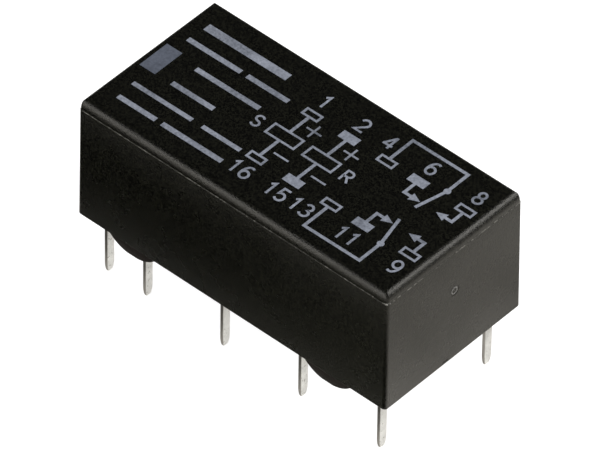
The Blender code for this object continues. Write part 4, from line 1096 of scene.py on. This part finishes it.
# %% Outer coil
COIL_MIDDLE_Z = (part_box("bobbin")[0].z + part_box("bobbin")[1].z) / 2
COIL_START_X = -8.05 * MM
COIL_END_X = -0.45 * MM
SLEEVE_WIDTH, SLEEVE_HEIGHT = 3.88 * MM, 3.98 * MM
TURN_COUNT = 70
COIL_WIRE_RADIUS = 0.055 * MM
WIRE_SINKS = 0.02 * MM

numbers = {label: "NodeSocketFloat" for label in ("Width", "Height", "Corner", "Wire radius", "Pitch")}
tree, given = new_geometry_tree("wire_turns", {"Turns": "NodeSocketInt", **numbers})
path = add(tree, "GeometryNodeCurvePrimitiveQuadrilateral", {"Width": given["Height"], "Height": given["Width"]})
rounded = tree.nodes.new("GeometryNodeFilletCurve")
rounded.mode = "POLY"
tree.links.new(path.outputs[0], rounded.inputs["Curve"])
tree.links.new(given["Corner"], rounded.inputs["Radius"])
rounded.inputs["Count"].default_value = 4
section = add(tree, "GeometryNodeCurvePrimitiveCircle", {"Resolution": 6, "Radius": given["Wire radius"]})
turn_of_wire = add(tree, "GeometryNodeCurveToMesh", {0: rounded.outputs[0], 1: section.outputs[0]}).outputs[0]
upright = add(tree, "GeometryNodeTransform", {"Geometry": turn_of_wire, "Rotation": (0, pi / 2, 0)}).outputs[0]
offset = add(tree, "ShaderNodeCombineXYZ", {"X": given["Pitch"]}).outputs[0]
row = add(tree, "GeometryNodeMeshLine", {"Count": given["Turns"], "Offset": offset}).outputs[0]
copies = add(tree, "GeometryNodeInstanceOnPoints", {"Points": row, "Instance": upright}).outputs[0]
end_tree(tree, copies).inputs["Material"].default_value = copper_material

pitch = (COIL_END_X - COIL_START_X) / (TURN_COUNT - 1)
turns = grow("reset_winding_turns", tree, {
    "Turns": TURN_COUNT, "Width": SLEEVE_WIDTH - 2 * WIRE_SINKS, "Height": SLEEVE_HEIGHT - 2 * WIRE_SINKS,
    "Corner": 0.3 * MM, "Wire radius": COIL_WIRE_RADIUS, "Pitch": pitch})
turns.data.transform(Matrix.Translation((COIL_START_X, 0, COIL_MIDDLE_Z)))
finish_piece(turns, "housing", "winding")

# %% [markdown]
# ## Resin round the pins
# Before it sets, the resin creeps up each pin and dries as a small collar. Ten pins need ten
# collars, so Geometry Nodes set one on each of ten points: a low wide cone with a steeper one
# in its middle, which together read as a hollow curve.

# %% Resin collars
PIN_ROW_Y = 3.81 * MM
PIN_COLUMNS = [x * MM for x in (-8.89, -6.35, -1.27, 3.81, 8.89)]
COLLAR_SIDES = 24

numbers = {label: "NodeSocketFloat" for label in ("Foot radius", "Neck radius", "Low height", "Full height")}
tree, given = new_geometry_tree("resin_collars", {"Sides": "NodeSocketInt", **numbers})
half_way = calculate(tree, "MULTIPLY", calculate(tree, "ADD", given["Foot radius"], given["Neck radius"]), 0.56)
low = add(tree, "GeometryNodeMeshCone", {"Vertices": given["Sides"], "Radius Top": half_way,
                                         "Radius Bottom": given["Foot radius"], "Depth": given["Low height"]})
steep = add(tree, "GeometryNodeMeshCone", {"Vertices": given["Sides"], "Radius Top": given["Neck radius"],
                                           "Radius Bottom": half_way, "Depth": given["Full height"]})
both = tree.nodes.new("GeometryNodeJoinGeometry")
tree.links.new(low.outputs[0], both.inputs[0])
tree.links.new(steep.outputs[0], both.inputs[0])
hanging = add(tree, "GeometryNodeTransform", {"Geometry": both.outputs[0], "Rotation": (pi, 0, 0)}).outputs[0]
copies = add(tree, "GeometryNodeInstanceOnPoints", {"Points": given["Geometry"], "Instance": hanging}).outputs[0]
end_tree(tree, copies).inputs["Material"].default_value = resin_material

spots = [(x, side * PIN_ROW_Y, RESIN_Z) for x in PIN_COLUMNS for side in (-1, 1)]
collars = grow("resin_collars", tree, {"Sides": COLLAR_SIDES, "Foot radius": 0.62 * MM, "Neck radius": 0.34 * MM,
                                       "Low height": 0.04 * MM, "Full height": 0.09 * MM}, spots)
finish_piece(collars, "housing", "resin")

# %% [markdown]
# ## Materials for the CAD nodes that stay
# The parts inside keep their CAD shape. Each gets its finish by putting the material into the
# slots of its object, and nothing of its mesh is touched.

# %% Finishes of the working parts
FINISHES = {
    "resin": resin_material, "bobbin": bobbin_material, "winding": copper_material, "iron": iron_material,
    "carrier": carrier_material, "magnet": magnet_material, "spring": spring_material,
    "contact": silver_material, "case": case_material, "base": base_material, "terminal": tin_material,
}
for row in frame["record"]["subparts"]:
    for slot in nodes[row["node"]].material_slots:
        slot.material = FINISHES[row["material_slot"]]
print("finished", len(nodes), "CAD nodes")

# %% Box of the dressed part
low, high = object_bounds()
